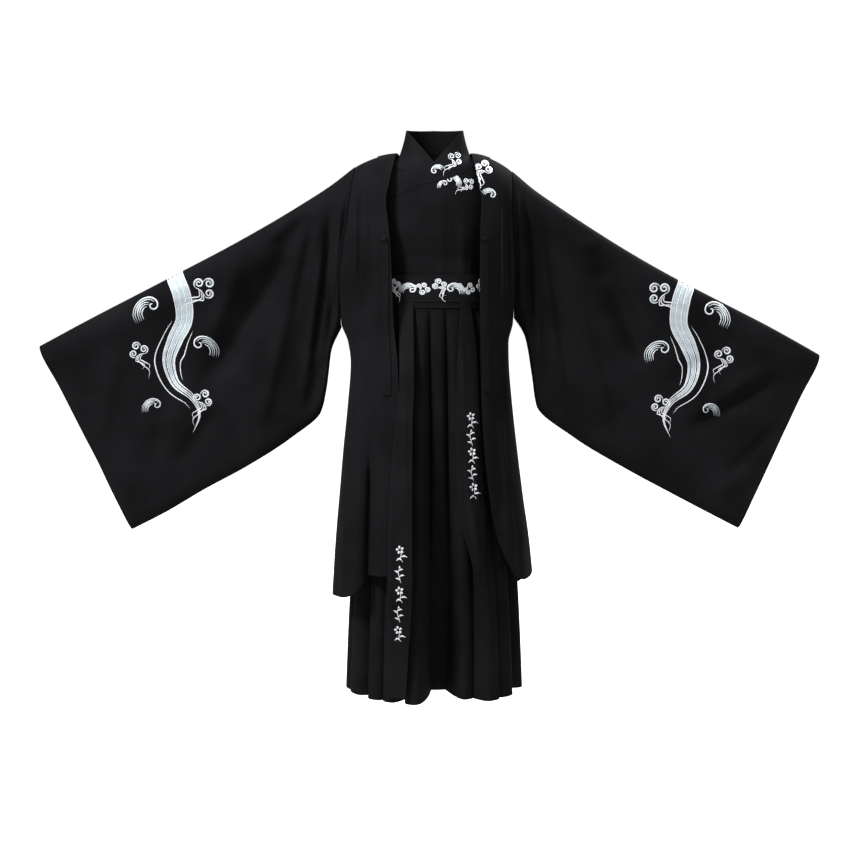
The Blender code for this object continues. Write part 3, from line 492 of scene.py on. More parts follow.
# The bands: a strip of the same chiffon, folded double and stitched flat down both front edges and round the
# back of the neck. The turned edge is the robe's opening.
BAND_STITCH = 0.0025  # from the edge
HALF_NECK = [0, 0.031, 0.075, 0.124, 0.20, 0.30, 0.40]  # the neck band's columns, from one end to the middle
NECK_BAND_ROWS = [0, 0.15, 0.46, 0.73, 1]
NECK_BAND_TAPER = 0.8  # exponent of its outline, lower for a fuller one
NECKLINE_ROW = 0.0002  # the first row of the back that it lies on
# Half its reach in degrees, how much more at its outer edge, its depth in rows of the back, and its lift
NECK_BAND = namedtuple("NeckBand", "half_turn spread depth lift")(26.5, 17.0, 0.13, 0.0032)


def front_band(side):
    def place(u, v):
        return outwards(robe_front(side), u, v, -side * LAYER)

    return place


def neck_band(along, wide):
    """Along the back of the neck from ridge to ridge, and from the neckline outwards."""
    turn = -np.cos(np.pi * along) * (NECK_BAND.half_turn + NECK_BAND.spread * wide)
    v = NECK_BAND.depth * wide * np.clip(np.sin(np.pi * along), 0, 1) ** NECK_BAND_TAPER
    x, y, z = outwards(robe_back, turn, np.maximum(v, NECKLINE_ROW), NECK_BAND.lift)
    return np.array([x, y + 4 * SEAM, z])


band_cloth = chiffon("band_chiffon", black, 0.80, stitched=[("X", BAND_STITCH)])
neck_columns = HALF_NECK + [0.5] + [1 - share for share in HALF_NECK[::-1]]
sewn(
    sheet_of("neck_band_cloth", neck_band, finer(neck_columns, 4), finer(NECK_BAND_ROWS, 3)),
    "robe_band_neck", band_cloth, "robe_cloth",
    flat=(0.40, 0.09), held="folded", rests_on=["robe_back"], area=0.025,
)
for side, word in SIDES.items():
    piece = sheet_of(f"front_band_{word}_cloth", front_band(side), finer(band_columns, 4), body_rows)
    sewn(
        piece, f"robe_band_{word}", band_cloth, "robe_cloth",
        flat=(BAND, 1.16), held="folded", rests_on=[f"robe_front_{word}"],
    )

# The ties: two narrow strips of chiffon, each sewn to a front edge under a small flat knot at chest height,
# hanging loose with a straight cut end.
TIE_TOP, TIE_LENGTH = -0.196, 0.376
TIE_WIDTH, TIE_KNOT = 0.0185, 0.009  # its width, and the width of its gathered start
TIE_FLARE = 0.07  # part of its length over which it widens
TIE_THICKNESS, TIE_STITCH = 0.0008, 0.0015
TIE_LIFT = 0.0009  # further out than two layers, as the tie is flatter than the band below it
KNOT = namedtuple("Knot", "height place size")(0.005, 0.02, 0.018)
TIE_ROWS = [0, 0.02, 0.05, 0.09] + list(np.linspace(0.2, 1, 8))
TIE_INSET = Pair(0.0030, -0.0010)  # from the front edge to the tie's top
TIE_DRIFT = Pair(0.0160, 0.0020)  # how much further in its end hangs
TIE_HEM_SHARE = 0.1  # the place along the front's hem that its rows are measured to
BAND_RIM = 0.004  # the first column of the front that it lies on; what is past it sticks straight out


def tie(side):
    """Lies on the band, from a small knot at the front edge down to a flat cut end."""

    def place(wide, down):
        length = TIE_TOP - TIE_LENGTH * down
        hem = through(FRONT_HEM, "share", SIDES[side], TIE_HEM_SHARE)
        tip, notch = side_of(TIP_Z, side), side_of(NOTCH_Z, side)
        v = 1 + (length - notch) / (hem - notch)
        v = np.where(v < 1, (length - tip) / (notch - tip), v)
        width = TIE_KNOT + (TIE_WIDTH - TIE_KNOT) * smooth(down / TIE_FLARE)
        middle = side_of(TIE_INSET, side) + side_of(TIE_DRIFT, side) * down + TIE_WIDTH / 2
        u = (middle + (wide - 0.5) * width) / BAND * BAND_SHARE
        knot = KNOT.height * np.exp(-(((down - KNOT.place) / KNOT.size) ** 2))
        on_edge = np.maximum(u, BAND_RIM)
        base = outwards(robe_front(side), on_edge, v, -side * (2 * LAYER + TIE_LIFT + knot))
        base[0] += side * (u - on_edge) * BAND / BAND_SHARE
        return base

    return place


tie_cloth = chiffon("tie_chiffon", black, 0.78, stitched=[("X", TIE_STITCH)])
for side, word in SIDES.items():
    piece = sheet_of(f"tie_{word}_cloth", tie(side), np.linspace(0, 1, 9), finer(TIE_ROWS, 5))
    sewn(
        piece, f"robe_tie_{word}", tie_cloth, "robe_cloth", TIE_THICKNESS,
        flat=(TIE_WIDTH, 0.40), held="hung", rests_on=[f"robe_band_{word}"],
    )

# The sleeves: each is one very wide panel folded at the top, sewn along the bottom and set into the armhole.
# They spread out to the sides and fall nearly flat, with a soft fold from the shoulder and an open cuff.
SLEEVE_SEAM = 0.0020  # how far outside the robe's side the armhole seam lies
# From armhole to cuff: the top fold, the bottom seam, and half the depth at the arm and in the bag below it
Section = namedtuple("Section", "top_x top_z low_x low_z arm bag")
SLEEVE_RIGHT = [
    Section(-0.191, -0.022, -0.2270, -0.412, 0.056, 0.020),
    Section(-0.256, -0.070, -0.2520, -0.470, 0.052, 0.020),
    Section(-0.322, -0.112, -0.2640, -0.562, 0.048, 0.019),
    Section(-0.390, -0.153, -0.2780, -0.621, 0.045, 0.018),
    Section(-0.500, -0.215, -0.3540, -0.687, 0.042, 0.017),
    Section(-0.605, -0.270, -0.4600, -0.755, 0.040, 0.016),
    Section(-0.725, -0.332, -0.5670, -0.813, 0.038, 0.015),
    Section(-0.845, -0.394, -0.6600, -0.868, 0.036, 0.015),
    Section(-0.966, -0.459, -0.7440, -0.911, 0.034, 0.016),
]
SLEEVE_LEFT = [
    Section(0.189, -0.033, 0.1930, -0.390, 0.056, 0.020),
    Section(0.245, -0.078, 0.2230, -0.436, 0.052, 0.020),
    Section(0.300, -0.116, 0.2400, -0.530, 0.048, 0.019),
    Section(0.365, -0.159, 0.2520, -0.606, 0.045, 0.018),
    Section(0.470, -0.225, 0.3450, -0.685, 0.042, 0.017),
    Section(0.575, -0.285, 0.4660, -0.758, 0.040, 0.016),
    Section(0.695, -0.347, 0.5750, -0.817, 0.038, 0.015),
    Section(0.820, -0.411, 0.6640, -0.864, 0.036, 0.015),
    Section(0.944, -0.480, 0.7490, -0.908, 0.034, 0.016),
]
SLEEVE_FOLDS = {
    RIGHT: [
        Fold(-0.300, -0.125, -0.395, -0.240, -0.014, 0.030),
        Fold(-0.395, -0.240, -0.585, -0.600, -0.016, 0.040),
        Fold(-0.235, -0.160, -0.262, -0.470, -0.012, 0.018),
        Fold(-0.262, -0.470, -0.318, -0.640, -0.010, 0.020),
        Fold(-0.330, -0.250, -0.400, -0.560, 0.010, 0.034),
        Fold(-0.520, -0.290, -0.690, -0.760, 0.008, 0.050),
    ],
    LEFT: [
        Fold(0.385, -0.205, 0.420, -0.310, -0.012, 0.026),
        Fold(0.420, -0.310, 0.535, -0.520, -0.014, 0.034),
        Fold(0.290, -0.210, 0.465, -0.510, 0.010, 0.030),
        Fold(0.218, -0.090, 0.250, -0.400, -0.010, 0.018),
        Fold(0.605, -0.660, 0.830, -0.540, -0.010, 0.032),
        Fold(0.665, -0.840, 0.815, -0.740, 0.008, 0.030),
    ],
}
SLEEVE_CREASES = {
    RIGHT: [
        Fold(-0.214, -0.060, -0.252, -0.420, 0.0085, 0.009),
        Fold(-0.300, -0.130, -0.585, -0.610, -0.0130, 0.026),
        Fold(-0.192, -0.040, -0.264, -0.480, -0.0120, 0.009),
        Fold(-0.245, -0.090, -0.300, -0.560, -0.0102, 0.010),
        Fold(-0.262, -0.180, -0.330, -0.640, 0.0085, 0.012),
        Fold(-0.285, -0.115, -0.350, -0.420, -0.0076, 0.013),
        Fold(-0.350, -0.330, -0.430, -0.690, 0.0102, 0.016),
        Fold(-0.460, -0.240, -0.560, -0.480, 0.0085, 0.022),
        Fold(-0.620, -0.420, -0.700, -0.780, -0.0102, 0.026),
        Fold(-0.760, -0.420, -0.830, -0.720, 0.0085, 0.024),
        Fold(-0.520, -0.600, -0.640, -0.760, -0.0085, 0.020),
        Fold(-0.880, -0.480, -0.800, -0.840, -0.0076, 0.020),
    ],
    LEFT: [
        Fold(0.203, -0.060, 0.214, -0.380, 0.0085, 0.007),
        Fold(0.385, -0.205, 0.540, -0.530, -0.0120, 0.024),
        Fold(0.605, -0.670, 0.880, -0.520, -0.0110, 0.022),
        Fold(0.216, -0.075, 0.238, -0.420, -0.0093, 0.008),
        Fold(0.236, -0.110, 0.262, -0.560, 0.0085, 0.010),
        Fold(0.262, -0.110, 0.345, -0.640, -0.0093, 0.012),
        Fold(0.330, -0.300, 0.440, -0.680, 0.0102, 0.016),
        Fold(0.450, -0.240, 0.540, -0.480, 0.0085, 0.020),
        Fold(0.590, -0.660, 0.850, -0.500, 0.0119, 0.020),
        Fold(0.560, -0.560, 0.760, -0.430, -0.0085, 0.022),
        Fold(0.700, -0.800, 0.860, -0.640, -0.0085, 0.018),
        Fold(0.640, -0.340, 0.700, -0.470, -0.0068, 0.020),
    ],
}
SLEEVE_BLEND = 0.16  # part of the sleeve over which the armhole's opening becomes the sleeve's own section
SLEEVE_START = 0.125  # part over which it leaves the armhole seam
SLEEVE_LENGTHS = 17
ARM_FALL = 1.5  # how far below the arm the sleeve thins to its bag, in half depths of the arm
SLEEVE_BEND = 0.07  # part of the way down over which the bottom closes
# Parts of the sleeve, from the armhole and from the top fold, over which folds and creases begin
Calm = namedtuple("Calm", "armhole top")
FOLD_CALM, CREASE_CALM = Calm(0.12, 0.12), Calm(0.05, 0.10)
CUFF_CALM, CUFF_SWAY = 0.10, 0.25  # folds weaken over this part before the cuff, and a little is left at it
Placed = namedtuple("Placed", ("t",) + Section._fields)


def sleeve_rows(side):
    """A sleeve's sections, each with its share of the way from armhole to cuff."""
    sections = side_of(Pair(SLEEVE_RIGHT, SLEEVE_LEFT), side)
    return [Placed(i / (len(sections) - 1), *section) for i, section in enumerate(sections)]


def sleeve(side):
    rows = sleeve_rows(side)

    def place(ring, t):
        """Round the sleeve: 0 to 1 down the front face, 1 to 2 up the back. t runs from armhole to cuff."""
        face = np.where(ring < 1, FRONT, BACK)
        v = np.where(ring < 1, ring, 2 - ring)
        top_x, top_z, low_x, low_z, arm, bag = (through(rows, "t", name, t) for name in Section._fields)
        x, z = top_x + (low_x - top_x) * v, top_z + (low_z - top_z) * v
        first_x = rows[0].top_x + (rows[0].low_x - rows[0].top_x) * v
        drop = v * np.hypot(low_x - top_x, low_z - top_z)
        round_arm = arm * quarter(drop / arm)
        below = bag + (arm - bag) * np.exp(-((np.maximum(drop - arm, 0) / (ARM_FALL * arm)) ** 2))
        half = np.where(drop < arm, round_arm, below) * quarter((1 - v) / SLEEVE_BEND)
        seam_x = side * robe_half(edge_level(v, side, 0), side)
        near = smooth(t / SLEEVE_BLEND)
        half = armhole_gap(v) + (half - armhole_gap(v)) * near
        x = x + (seam_x + side * SLEEVE_SEAM - first_x) * (1 - smooth(t / SLEEVE_START))
        sway = folds_at(SLEEVE_FOLDS[side], x, z) * smooth(t / FOLD_CALM.armhole)
        sway = sway * smooth((1 - t) / CUFF_CALM + CUFF_SWAY) * smooth(v / FOLD_CALM.top)
        creases = folds_at(SLEEVE_CREASES[side], x, z)
        sway = sway + creases * smooth(t / CREASE_CALM.armhole) * smooth(v / CREASE_CALM.top)
        return np.array([x, face * half - sway, z])

    return place


sleeve_ring = finer(ARMHOLE_STEPS, 8)
sleeve_ring = np.append(sleeve_ring, 2 - sleeve_ring[-2::-1])
lengths = finer(np.linspace(0, 1, SLEEVE_LENGTHS), 8)
sleeve_cloth = chiffon("sleeve_chiffon", black, 0.82, stitched=[("Y", HEM)])
for side, word in SIDES.items():
    piece = sheet_of(f"sleeve_{word}_cloth", sleeve(side), sleeve_ring, lengths, ring=True)
    sewn(
        piece, f"robe_sleeve_{word}", sleeve_cloth, "robe_cloth",
        flat=(1.02, 0.88), held="hung", rests_on=["robe_back", f"robe_front_{word}"], area=0.75,
    )

# The sleeves' embroidery: a stream of water that comes over the top fold and runs down the front between
# small clouds and curling waves, in white and pale silver-blue satin stitch. Each stroke is a ridge of laid
# threads.
Stroke = namedtuple("Stroke", "line start middle end")  # a line, and the stroke's width at three places on it


def line_through(points, rows=30):
    """A smooth line through a few points, as rows of x and z."""
    points = np.asarray(points, float)
    ends = np.vstack([2 * points[0] - points[1], points, 2 * points[-1] - points[-2]])
    at = np.linspace(0, len(points) - 1, rows)
    i = np.minimum(at.astype(int), len(points) - 2)
    s = (at - i)[:, None]
    a, b, c, d = (ends[i + k] for k in range(4))
    return 0.5 * (2 * b + (c - a) * s + (2 * a - 5 * b + 4 * c - d) * s**2 + (3 * b - a - 3 * c + d) * s**3)


def curl(x, z, radius, turns, start, way, inner=0.14, rows=40):
    """A line that winds in towards a middle from a start in degrees, to the left (1) or the right (-1)."""
    share = np.linspace(0, 1, rows)
    turn = np.radians(start) + way * share * turns * 2 * np.pi
    reach = radius * (1 - (1 - inner) * share)
    return np.stack([x + reach * np.cos(turn), z + reach * np.sin(turn)], axis=1)


def beside(line, away, shares=(0, 1), spreads=(1, 1)):
    """The same line moved sideways, by a distance that can change along it."""
    ahead = np.gradient(line, axis=0)
    ahead /= np.linalg.norm(ahead, axis=1)[:, None]
    reach = away * np.interp(np.linspace(0, 1, len(line)), shares, spreads)
    return line + np.stack([-ahead[:, 1], ahead[:, 0]], axis=1) * reach[:, None]


def cloud():
    """Three open curls with three trailing tails: white outlines edged with silver-blue, two units wide."""
    white, silver = [], []
    curls = ((-0.50, 0.0, 0.40, -70, -1), (0.50, -0.04, 0.37, -110, 1), (0.02, 0.50, 0.40, 215, -1))
    for x, z, radius, start, way in curls:
        white.append(Stroke(curl(x, z, radius, 1.65, start, way), 0.05, 0.10, 0.07))
        inside = curl(x, z, 0.76 * radius, 0.95, start + 25 * way, way, 0.5)
        silver.append(Stroke(inside, 0.03, 0.09, 0.03))
    base = line_through([(-0.46, -0.38), (0.0, -0.30), (0.46, -0.40)], 14)
    white.append(Stroke(base, 0.04, 0.08, 0.04))
    for lean, reach in ((-0.20, 1.5), (0.0, 2.1), (0.20, 1.2)):
        low, lower = (lean + 0.10, -0.40 - 0.42 * reach), (lean - 0.22, -0.40 - 0.72 * reach)
        tail = line_through([(lean, -0.34), (lean + 0.34, -0.66), low, lower, (lean + 0.10, -0.40 - reach)])
        white.append(Stroke(tail, 0.06, 0.09, 0.015))
    return white, silver


def wave():
    """Nested arches whose outermost ends in a curl, two units wide."""
    crest = [
        (-1.05, -0.50), (-0.92, 0.05), (-0.50, 0.46), (0.02, 0.60), (0.50, 0.46), (0.74, 0.12),
        (0.66, -0.20), (0.40, -0.30), (0.22, -0.14), (0.30, 0.06), (0.46, 0.03),
    ]
    second = [(-0.78, -0.52), (-0.66, -0.05), (-0.34, 0.26), (0.02, 0.34), (0.32, 0.20)]
    third = [(-0.52, -0.54), (-0.42, -0.16), (-0.18, 0.05), (0.06, 0.08)]
    white = [
        Stroke(line_through(crest, 60), 0.02, 0.10, 0.07),
        Stroke(line_through(second, 34), 0.02, 0.09, 0.03),
        Stroke(line_through(third, 26), 0.02, 0.08, 0.03),
    ]
    silver = [
        Stroke(beside(line_through(crest[:6], 36), -0.13), 0.02, 0.12, 0.03),
        Stroke(beside(line_through(second, 26), -0.12), 0.02, 0.10, 0.03),
    ]
    return white, silver


def stream():
    """Water in parallel lines that swings down from side to side and thins out to one long tail."""
    bends = [
        (-0.16, 0.90), (-0.04, 0.30), (0.16, -0.30), (0.14, -0.95), (-0.16, -1.45),
        (-0.38, -1.95), (-0.28, -2.50), (0.10, -2.90), (0.24, -3.35), (0.02, -3.80),
    ]
    middle = line_through(bends, 110)
    shares, spreads = [0, 0.25, 0.45, 0.60, 0.75, 0.88, 1], [0.95, 1.0, 0.85, 0.62, 0.34, 0.10, 0]
    lines = [beside(middle, 0.21 * k / 3, shares, spreads) for k in (-3, -1, 1, 3)]
    white = [Stroke(line, 0.034, 0.034, 0.012) for line in lines]
    shares, spreads = [0, 0.38, 0.68, 1], [0.95, 1.0, 0.85, 0.45]
    fills = [beside(middle[:84], 0.14 * k, shares, spreads) for k in (-1, 0, 1)]
    silver = [Stroke(line, 0.125, 0.115, 0.02) for line in fills]
    for away, first, last in ((0.36, 40, 76), (-0.35, 40, 92)):
        line = beside(middle[first:last], away, [0, 0.4, 1], [0.8, 1.0, 0.55])
        white.append(Stroke(line, 0.012, 0.036, 0.010))
    return white, silver


# A drawing, its place, the size of its unit, its turn in degrees, -1 to mirror it, and its lines' weight
Motif = namedtuple("Motif", "shape x z size turn flip weight", defaults=(1.0,))


def strokes_of(motifs):
    """All white and all silver strokes of a design, each motif put at its place, size and turn."""
    both = ([], [])
    for motif in motifs:
        cos, sin = np.cos(np.radians(motif.turn)), np.sin(np.radians(motif.turn))
        for kind, strokes in zip(both, motif.shape()):
            for stroke in strokes:
                x, z = motif.flip * stroke.line[:, 0] * motif.size, stroke.line[:, 1] * motif.size
                line = np.stack([motif.x + x * cos - z * sin, motif.z + x * sin + z * cos], axis=1)
                widths = (motif.size * motif.weight * width for width in stroke[1:])
                kind.append(Stroke(line, *widths))
    return both


SATIN_THREADS = 15700.0  # radians of the threads' sine a metre: one thread in 0.4 mm
RIDGE_SIDE = np.array([-1.0, -0.72, 0.0, 0.72, 1.0])  # a ridge's section, in half widths
RIDGE_RISE = np.array([-0.35, 0.62, 1.0, 0.62, -0.35])  # its height there, below 0 in the cloth
FULL_RIDGE = 0.0022  # a stroke whose half width is this or more rises in full
WIDEST = 0.45  # part of the way along a stroke where its middle width is
TIP_PART, TIP_WIDTH = 0.05, 0.25  # part over which each end narrows, and the share of its width left there


def satin_thread(name, colour, shade):
    """Rayon thread laid side by side across each stroke, with a soft silky sheen and painted shade between
    the threads.
    """
    material = bpy.data.materials.new(name)
    material.use_nodes = True
    shader = material.node_tree.nodes["Principled BSDF"]
    start = Signal(material.node_tree)
    flat = start.node("ShaderNodeTexCoord", output="UV")
    along = start.node("ShaderNodeSeparateXYZ", {0: flat}, output="Y")
    wander = start.node("ShaderNodeTexNoise", {"Vector": flat, "Scale": 240.0, "Detail": 2.0})
    thread_ridges_and_shade = start.maths("SINE", along * SATIN_THREADS + wander * 5.0)
    worn = start.node("ShaderNodeTexNoise", {"Vector": flat, "Scale": 60.0, "Detail": 3.0})
    stops = [(0.15, shade), (0.60, colour)]
    # The threads' ripple also darkens the colour between the threads and lightens it on them: painted shade
    # and highlight that follow the threads' bump
    tone = start.node("ShaderNodeValToRGB", {0: worn * 0.8 + thread_ridges_and_shade * 0.12}, stops=stops)
    bump = start.node("ShaderNodeBump", {"Height": thread_ridges_and_shade, "Strength": 0.4, "Distance": 0.0002})
    start.tree.links.new(tone.socket, shader.inputs["Base Color"])
    start.tree.links.new(bump.socket, shader.inputs["Normal"])
    shader.inputs["Roughness"].default_value = 0.42
    shader.inputs["Sheen Weight"].default_value = 0.2
    return material


def satin(name, strokes, spot, thread, height):
    """Sews strokes as one piece: a long strip of ridges, cut between one stroke and the next."""
    line = np.concatenate([stroke.line for stroke in strokes])
    ahead = np.concatenate([np.gradient(stroke.line, axis=0) for stroke in strokes])
    ahead /= np.linalg.norm(ahead, axis=1)[:, None] + 1e-9
    width, along, last = [], [], []
    for stroke in strokes:
        share = np.linspace(0, 1, len(stroke.line))
        body = np.interp(share, [0, WIDEST, 1], [stroke.start, stroke.middle, stroke.end])
        tip = np.clip(np.minimum(share, 1 - share) / TIP_PART, TIP_WIDTH, 1)
        width.append(body * tip / 2)
        steps = np.linalg.norm(np.diff(stroke.line, axis=0), axis=1)
        along.append(np.append(0, np.cumsum(steps)))
        last.append(sum(len(part) for part in width) - 1)
    width, along = np.concatenate(width), np.concatenate(along)
    piece, column, row = grid(name, len(RIDGE_SIDE), len(line))
    mesh = piece.data
    x = line[row, 0] - ahead[row, 1] * RIDGE_SIDE[column] * width[row]
    z = line[row, 1] + ahead[row, 0] * RIDGE_SIDE[column] * width[row]
    full = np.minimum(width[row] / FULL_RIDGE, 1) ** 0.5
    points = spot(x, z, height * RIDGE_RISE[column] * full + CLOTH_WALL / 2).T
    lay(mesh, points, np.stack([RIDGE_SIDE[column] * width[row], along[row]], axis=1))
    bpy.ops.object.mode_set(mode="EDIT")
    bpy.ops.mesh.select_all(action="DESELECT")
    bpy.ops.object.mode_set(mode="OBJECT")
    ends = set(last)
    for face in mesh.polygons:
        face.select = min(row[v] for v in face.vertices) in ends
    bpy.ops.object.mode_set(mode="EDIT")
    bpy.ops.mesh.select_mode(type="FACE")
    bpy.ops.mesh.delete(type="ONLY_FACE")
    bpy.ops.mesh.select_mode(type="VERT")
    bpy.ops.mesh.select_all(action="SELECT")
    bpy.ops.mesh.delete_loose()
    bpy.ops.object.mode_set(mode="OBJECT")
    mesh.shade_smooth()
    mesh.materials.append(thread)
    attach(piece, "root")


HALVINGS = 30  # of the stretch of sleeve in which a spot is looked for


def sleeve_spot(side):
    """Finds the cloth seen at x, z from the front; past the sleeve's top fold it goes on down the back."""
    rows = sleeve_rows(side)

    def spot(x, z, height):
        near, far = np.zeros(len(x)), np.ones(len(x))
        for _ in range(HALVINGS):
            t = (near + far) / 2
            top_x, top_z, low_x, low_z = (through(rows, "t", name, t) for name in Section._fields[:4])
            beyond = side * ((x - top_x) * (low_z - top_z) - (z - top_z) * (low_x - top_x)) < 0
            near, far = np.where(beyond, t, near), np.where(beyond, far, t)
        run_x, run_z = low_x - top_x, low_z - top_z
        v = ((x - top_x) * run_x + (z - top_z) * run_z) / (run_x**2 + run_z**2)
        return outwards(sleeve(side), np.where(v > 0, v, 2 + v), t, side * height)

    return spot


white_thread = satin_thread("white_thread", (0.37, 0.375, 0.385), (0.25, 0.26, 0.275))
silver_thread = satin_thread("silver_blue_thread", (0.225, 0.27, 0.285), (0.14, 0.175, 0.195))


def embroider(name, design, spot, slot, *heights):
    """Sews a design's silver-blue strokes at the first height, and the white ones over them at the next."""
    white, silver = strokes_of(design)
    layers = (("silver", silver, silver_thread), ("white", white, white_thread))
    for (colour, strokes, thread), height in zip(layers, heights):
        if strokes:
            satin(f"{name}_{colour}_satin", strokes, spot, thread, height)


SLEEVE_DESIGN = [
    Motif(stream, -0.632, -0.302, 0.098, 6, 1),
    Motif(cloud, -0.558, -0.318, 0.034, -44, 1, 1.1),
    Motif(wave, -0.698, -0.366, 0.040, 30, 1, 1.1),
    Motif(wave, -0.560, -0.458, 0.036, -22, -1, 1.1),
    Motif(cloud, -0.722, -0.472, 0.028, 22, -1, 1.15),
    Motif(cloud, -0.566, -0.590, 0.028, -20, 1, 1.15),
    Motif(wave, -0.690, -0.604, 0.026, 10, 1, 1.2),
]
for side, across, down in ((RIGHT, 0.0, 0.0), (LEFT, -0.012, -0.012)):
    design = [
        m._replace(x=-side * m.x + across, z=m.z + down, turn=-side * m.turn, flip=-side * m.flip)
        for m in SLEEVE_DESIGN
    ]
    embroider(f"sleeve_{SIDES[side]}", design, sleeve_spot(side), "sash_cloth", 0.0006, 0.0011)

# The inner top: a back and two fronts of the same chiffon. The wearer's left front crosses over the right one
# and both are tucked in at the waist.
Ring = namedtuple("Ring", "z half front back")  # at a height: half the width, and the depth to each side
TOP_RINGS = [
    Ring(-0.430, 0.1290, 0.0950, 0.0950),
    Ring(-0.375, 0.1340, 0.0975, 0.0975),
    Ring(-0.335, 0.1397, 0.1024, 0.1024),
    Ring(-0.248, 0.1397, 0.1024, 0.1024),
    Ring(-0.222, 0.1480, 0.1100, 0.1045),
    Ring(-0.180, 0.1600, 0.1180, 0.1070),
    Ring(-0.120, 0.1640, 0.1170, 0.1080),
    Ring(-0.090, 0.1600, 0.1120, 0.1050),
    Ring(-0.060, 0.1500, 0.1040, 0.0990),
    Ring(-0.030, 0.1280, 0.0920, 0.0920),
    Ring(0.000, 0.0870, 0.0780, 0.0840),
    Ring(0.020, 0.0790, 0.0700, 0.0780),
    Ring(0.045, 0.0720, 0.0620, 0.0720),
    Ring(0.075, 0.0660, 0.0560, 0.0680),
]
TOP_UPPER = 3  # rows from the neckline down to the first of the levels, which all three panels share
TOP_LEVELS = [-0.160, -0.190, -0.222, -0.248, -0.290, -0.335, -0.380, -0.425]
OVER = 0.0030  # how far the upper front and its collar stand off the lower ones
OVER_Z, OVER_RISE = -0.27, 0.06  # it lies close below this height, and stands off in full this much higher
OVER_TURN, OVER_SPREAD = 40, 48  # degrees from the back where it starts to stand off, and over how many
TOP_COLUMNS, COLLAR_COLUMNS, COLLAR_ROWS = 13, 31, 4
TOP_ARMHOLE = namedtuple("Armhole", "top bottom half_turn")(-0.055, -0.205, 26.0)
TOP_SEAM = 0.12  # degrees from a side seam to the edge of each panel
# The collar's two edges, by degrees of turn from the middle of the back towards the front
Neckline = namedtuple("Neckline", "turn low high")
NECKLINE = [
    Neckline(0, 0.014, 0.074),
    Neckline(50, 0.009, 0.071),
    Neckline(90, -0.001, 0.067),
    Neckline(125, -0.022, 0.052),
    Neckline(150, -0.043, 0.029),
    Neckline(165, -0.057, 0.009),
    Neckline(175, -0.065, -0.008),
    Neckline(190, -0.073, -0.032),
    Neckline(208, -0.095, -0.041),
    Neckline(235, -0.120, -0.052),
    Neckline(268, -0.138, -0.064),
]
COLLAR_END = Pair(240, 210)  # turns at which the upper end and the hidden lower end stop
# Creases where the over front is drawn across the chest and tucked in
CHEST_CREASES = [
    Fold(0.018, -0.055, 0.019, -0.400, 0.0040, 0.004),
    Fold(0.070, -0.110, 0.068, -0.380, 0.0060, 0.009),
    Fold(0.088, -0.130, 0.084, -0.360, 0.0045, 0.006),
    Fold(-0.070, -0.120, -0.060, -0.340, 0.0035, 0.010),
]


def ring_point(rings, turn, z, lift=0.0):
    """A point on the rings at a turn in degrees from the middle of the back, moved out by a lift."""
    angle = np.radians(turn)
    half = through(rings, "z", "half", z)
    depth = np.where(np.cos(angle) > 0, through(rings, "z", "back", z), through(rings, "z", "front", z))
    x, y = half * np.sin(angle), depth * np.cos(angle)
    out_x, out_y = depth * np.sin(angle), half * np.cos(angle)
    length = np.hypot(out_x, out_y)
    return np.array([x + lift * out_x / length, y + lift * out_y / length, z + 0 * x])


def over_lift(turn, z):
    """The upper front and the collar rise over the lower ones past the shoulder, and lie close below."""
    height = LAYER + (OVER - LAYER) * smooth((z - OVER_Z) / OVER_RISE)
    return height * smooth((turn - OVER_TURN) / OVER_SPREAD)


def top_front(side):
    """From its own shoulder across the chest to the other side."""

    def place(across, down):
        turn = 90 + 180 * across
        top = through(NECKLINE, "turn", "low", turn) - SEAM
        z = top_row(top, down)
        hole = top_armhole(z)
        turn = np.where(across < 0.5, np.maximum(turn, 90 + hole), np.minimum(turn, 270 - hole))
        x, y, z = ring_point(TOP_RINGS, side * turn, z, over_lift(turn, z) * (side == LEFT))
        return np.array([x, y - folds_at(CHEST_CREASES, x, z) * (side == LEFT), z])

    return place


def top_row(top, row):
    """Height of a row: evenly down from the neckline, and then at the shared levels."""
    upper = top + (TOP_LEVELS[0] - top) * np.clip(row / TOP_UPPER, 0, 1)
    return np.where(row < TOP_UPPER, upper, np.interp(row - TOP_UPPER, range(len(TOP_LEVELS)), TOP_LEVELS))


def top_armhole(z):
    """Half the armhole's turn, at a height."""
    middle = (TOP_ARMHOLE.top + TOP_ARMHOLE.bottom) / 2
    reach = (TOP_ARMHOLE.top - TOP_ARMHOLE.bottom) / 2
    open_part = np.sqrt(np.clip(1 - ((z - middle) / reach) ** 2, 0, 1))
    return TOP_ARMHOLE.half_turn * open_part + TOP_SEAM


def top_back(across, down):
    turn = -90 + 180 * across
    top = through(NECKLINE, "turn", "low", np.abs(turn)) - SEAM
    z = top_row(top, down)
    limit = 90 - top_armhole(z)
    return ring_point(TOP_RINGS, np.clip(turn, -limit, limit), z)


top_cloth = chiffon("top_chiffon", black, 0.80)
top_rows = finer(range(TOP_UPPER + len(TOP_LEVELS)), 5)
top_columns = finer(np.linspace(0, 1, TOP_COLUMNS), 5)
piece = sheet_of("top_back_cloth", top_back, top_columns, top_rows)
sewn(piece, "top_back", top_cloth, "top_cloth", flat=(0.46, 0.46), held="hung", area=0.162)
for side, word in ((RIGHT, "under"), (LEFT, "over")):
    piece = sheet_of(f"top_front_{word}_cloth", top_front(side), top_columns, top_rows)
    sewn(
        piece, f"top_front_{word}", top_cloth, "top_cloth",
        flat=(0.46, 0.46), held="hung", rests_on=["top_back"], area=0.140,
    )

# The collar: one long band, folded double and stiff enough to stand. It starts under the left front, goes
# round the neck, and comes down over the left side of the chest to cross over itself.
COLLAR_THICKNESS, COLLAR_STITCH = 0.0013, 0.0022
COLLAR_TURN_IN = 0.0014  # the back's raw edge lies this deep in the collar
COLLAR_BACK = 60  # degrees from the middle of the back to where it no longer does


def collar_turn(along):
    return (COLLAR_END.right + COLLAR_END.left) * along - COLLAR_END.left


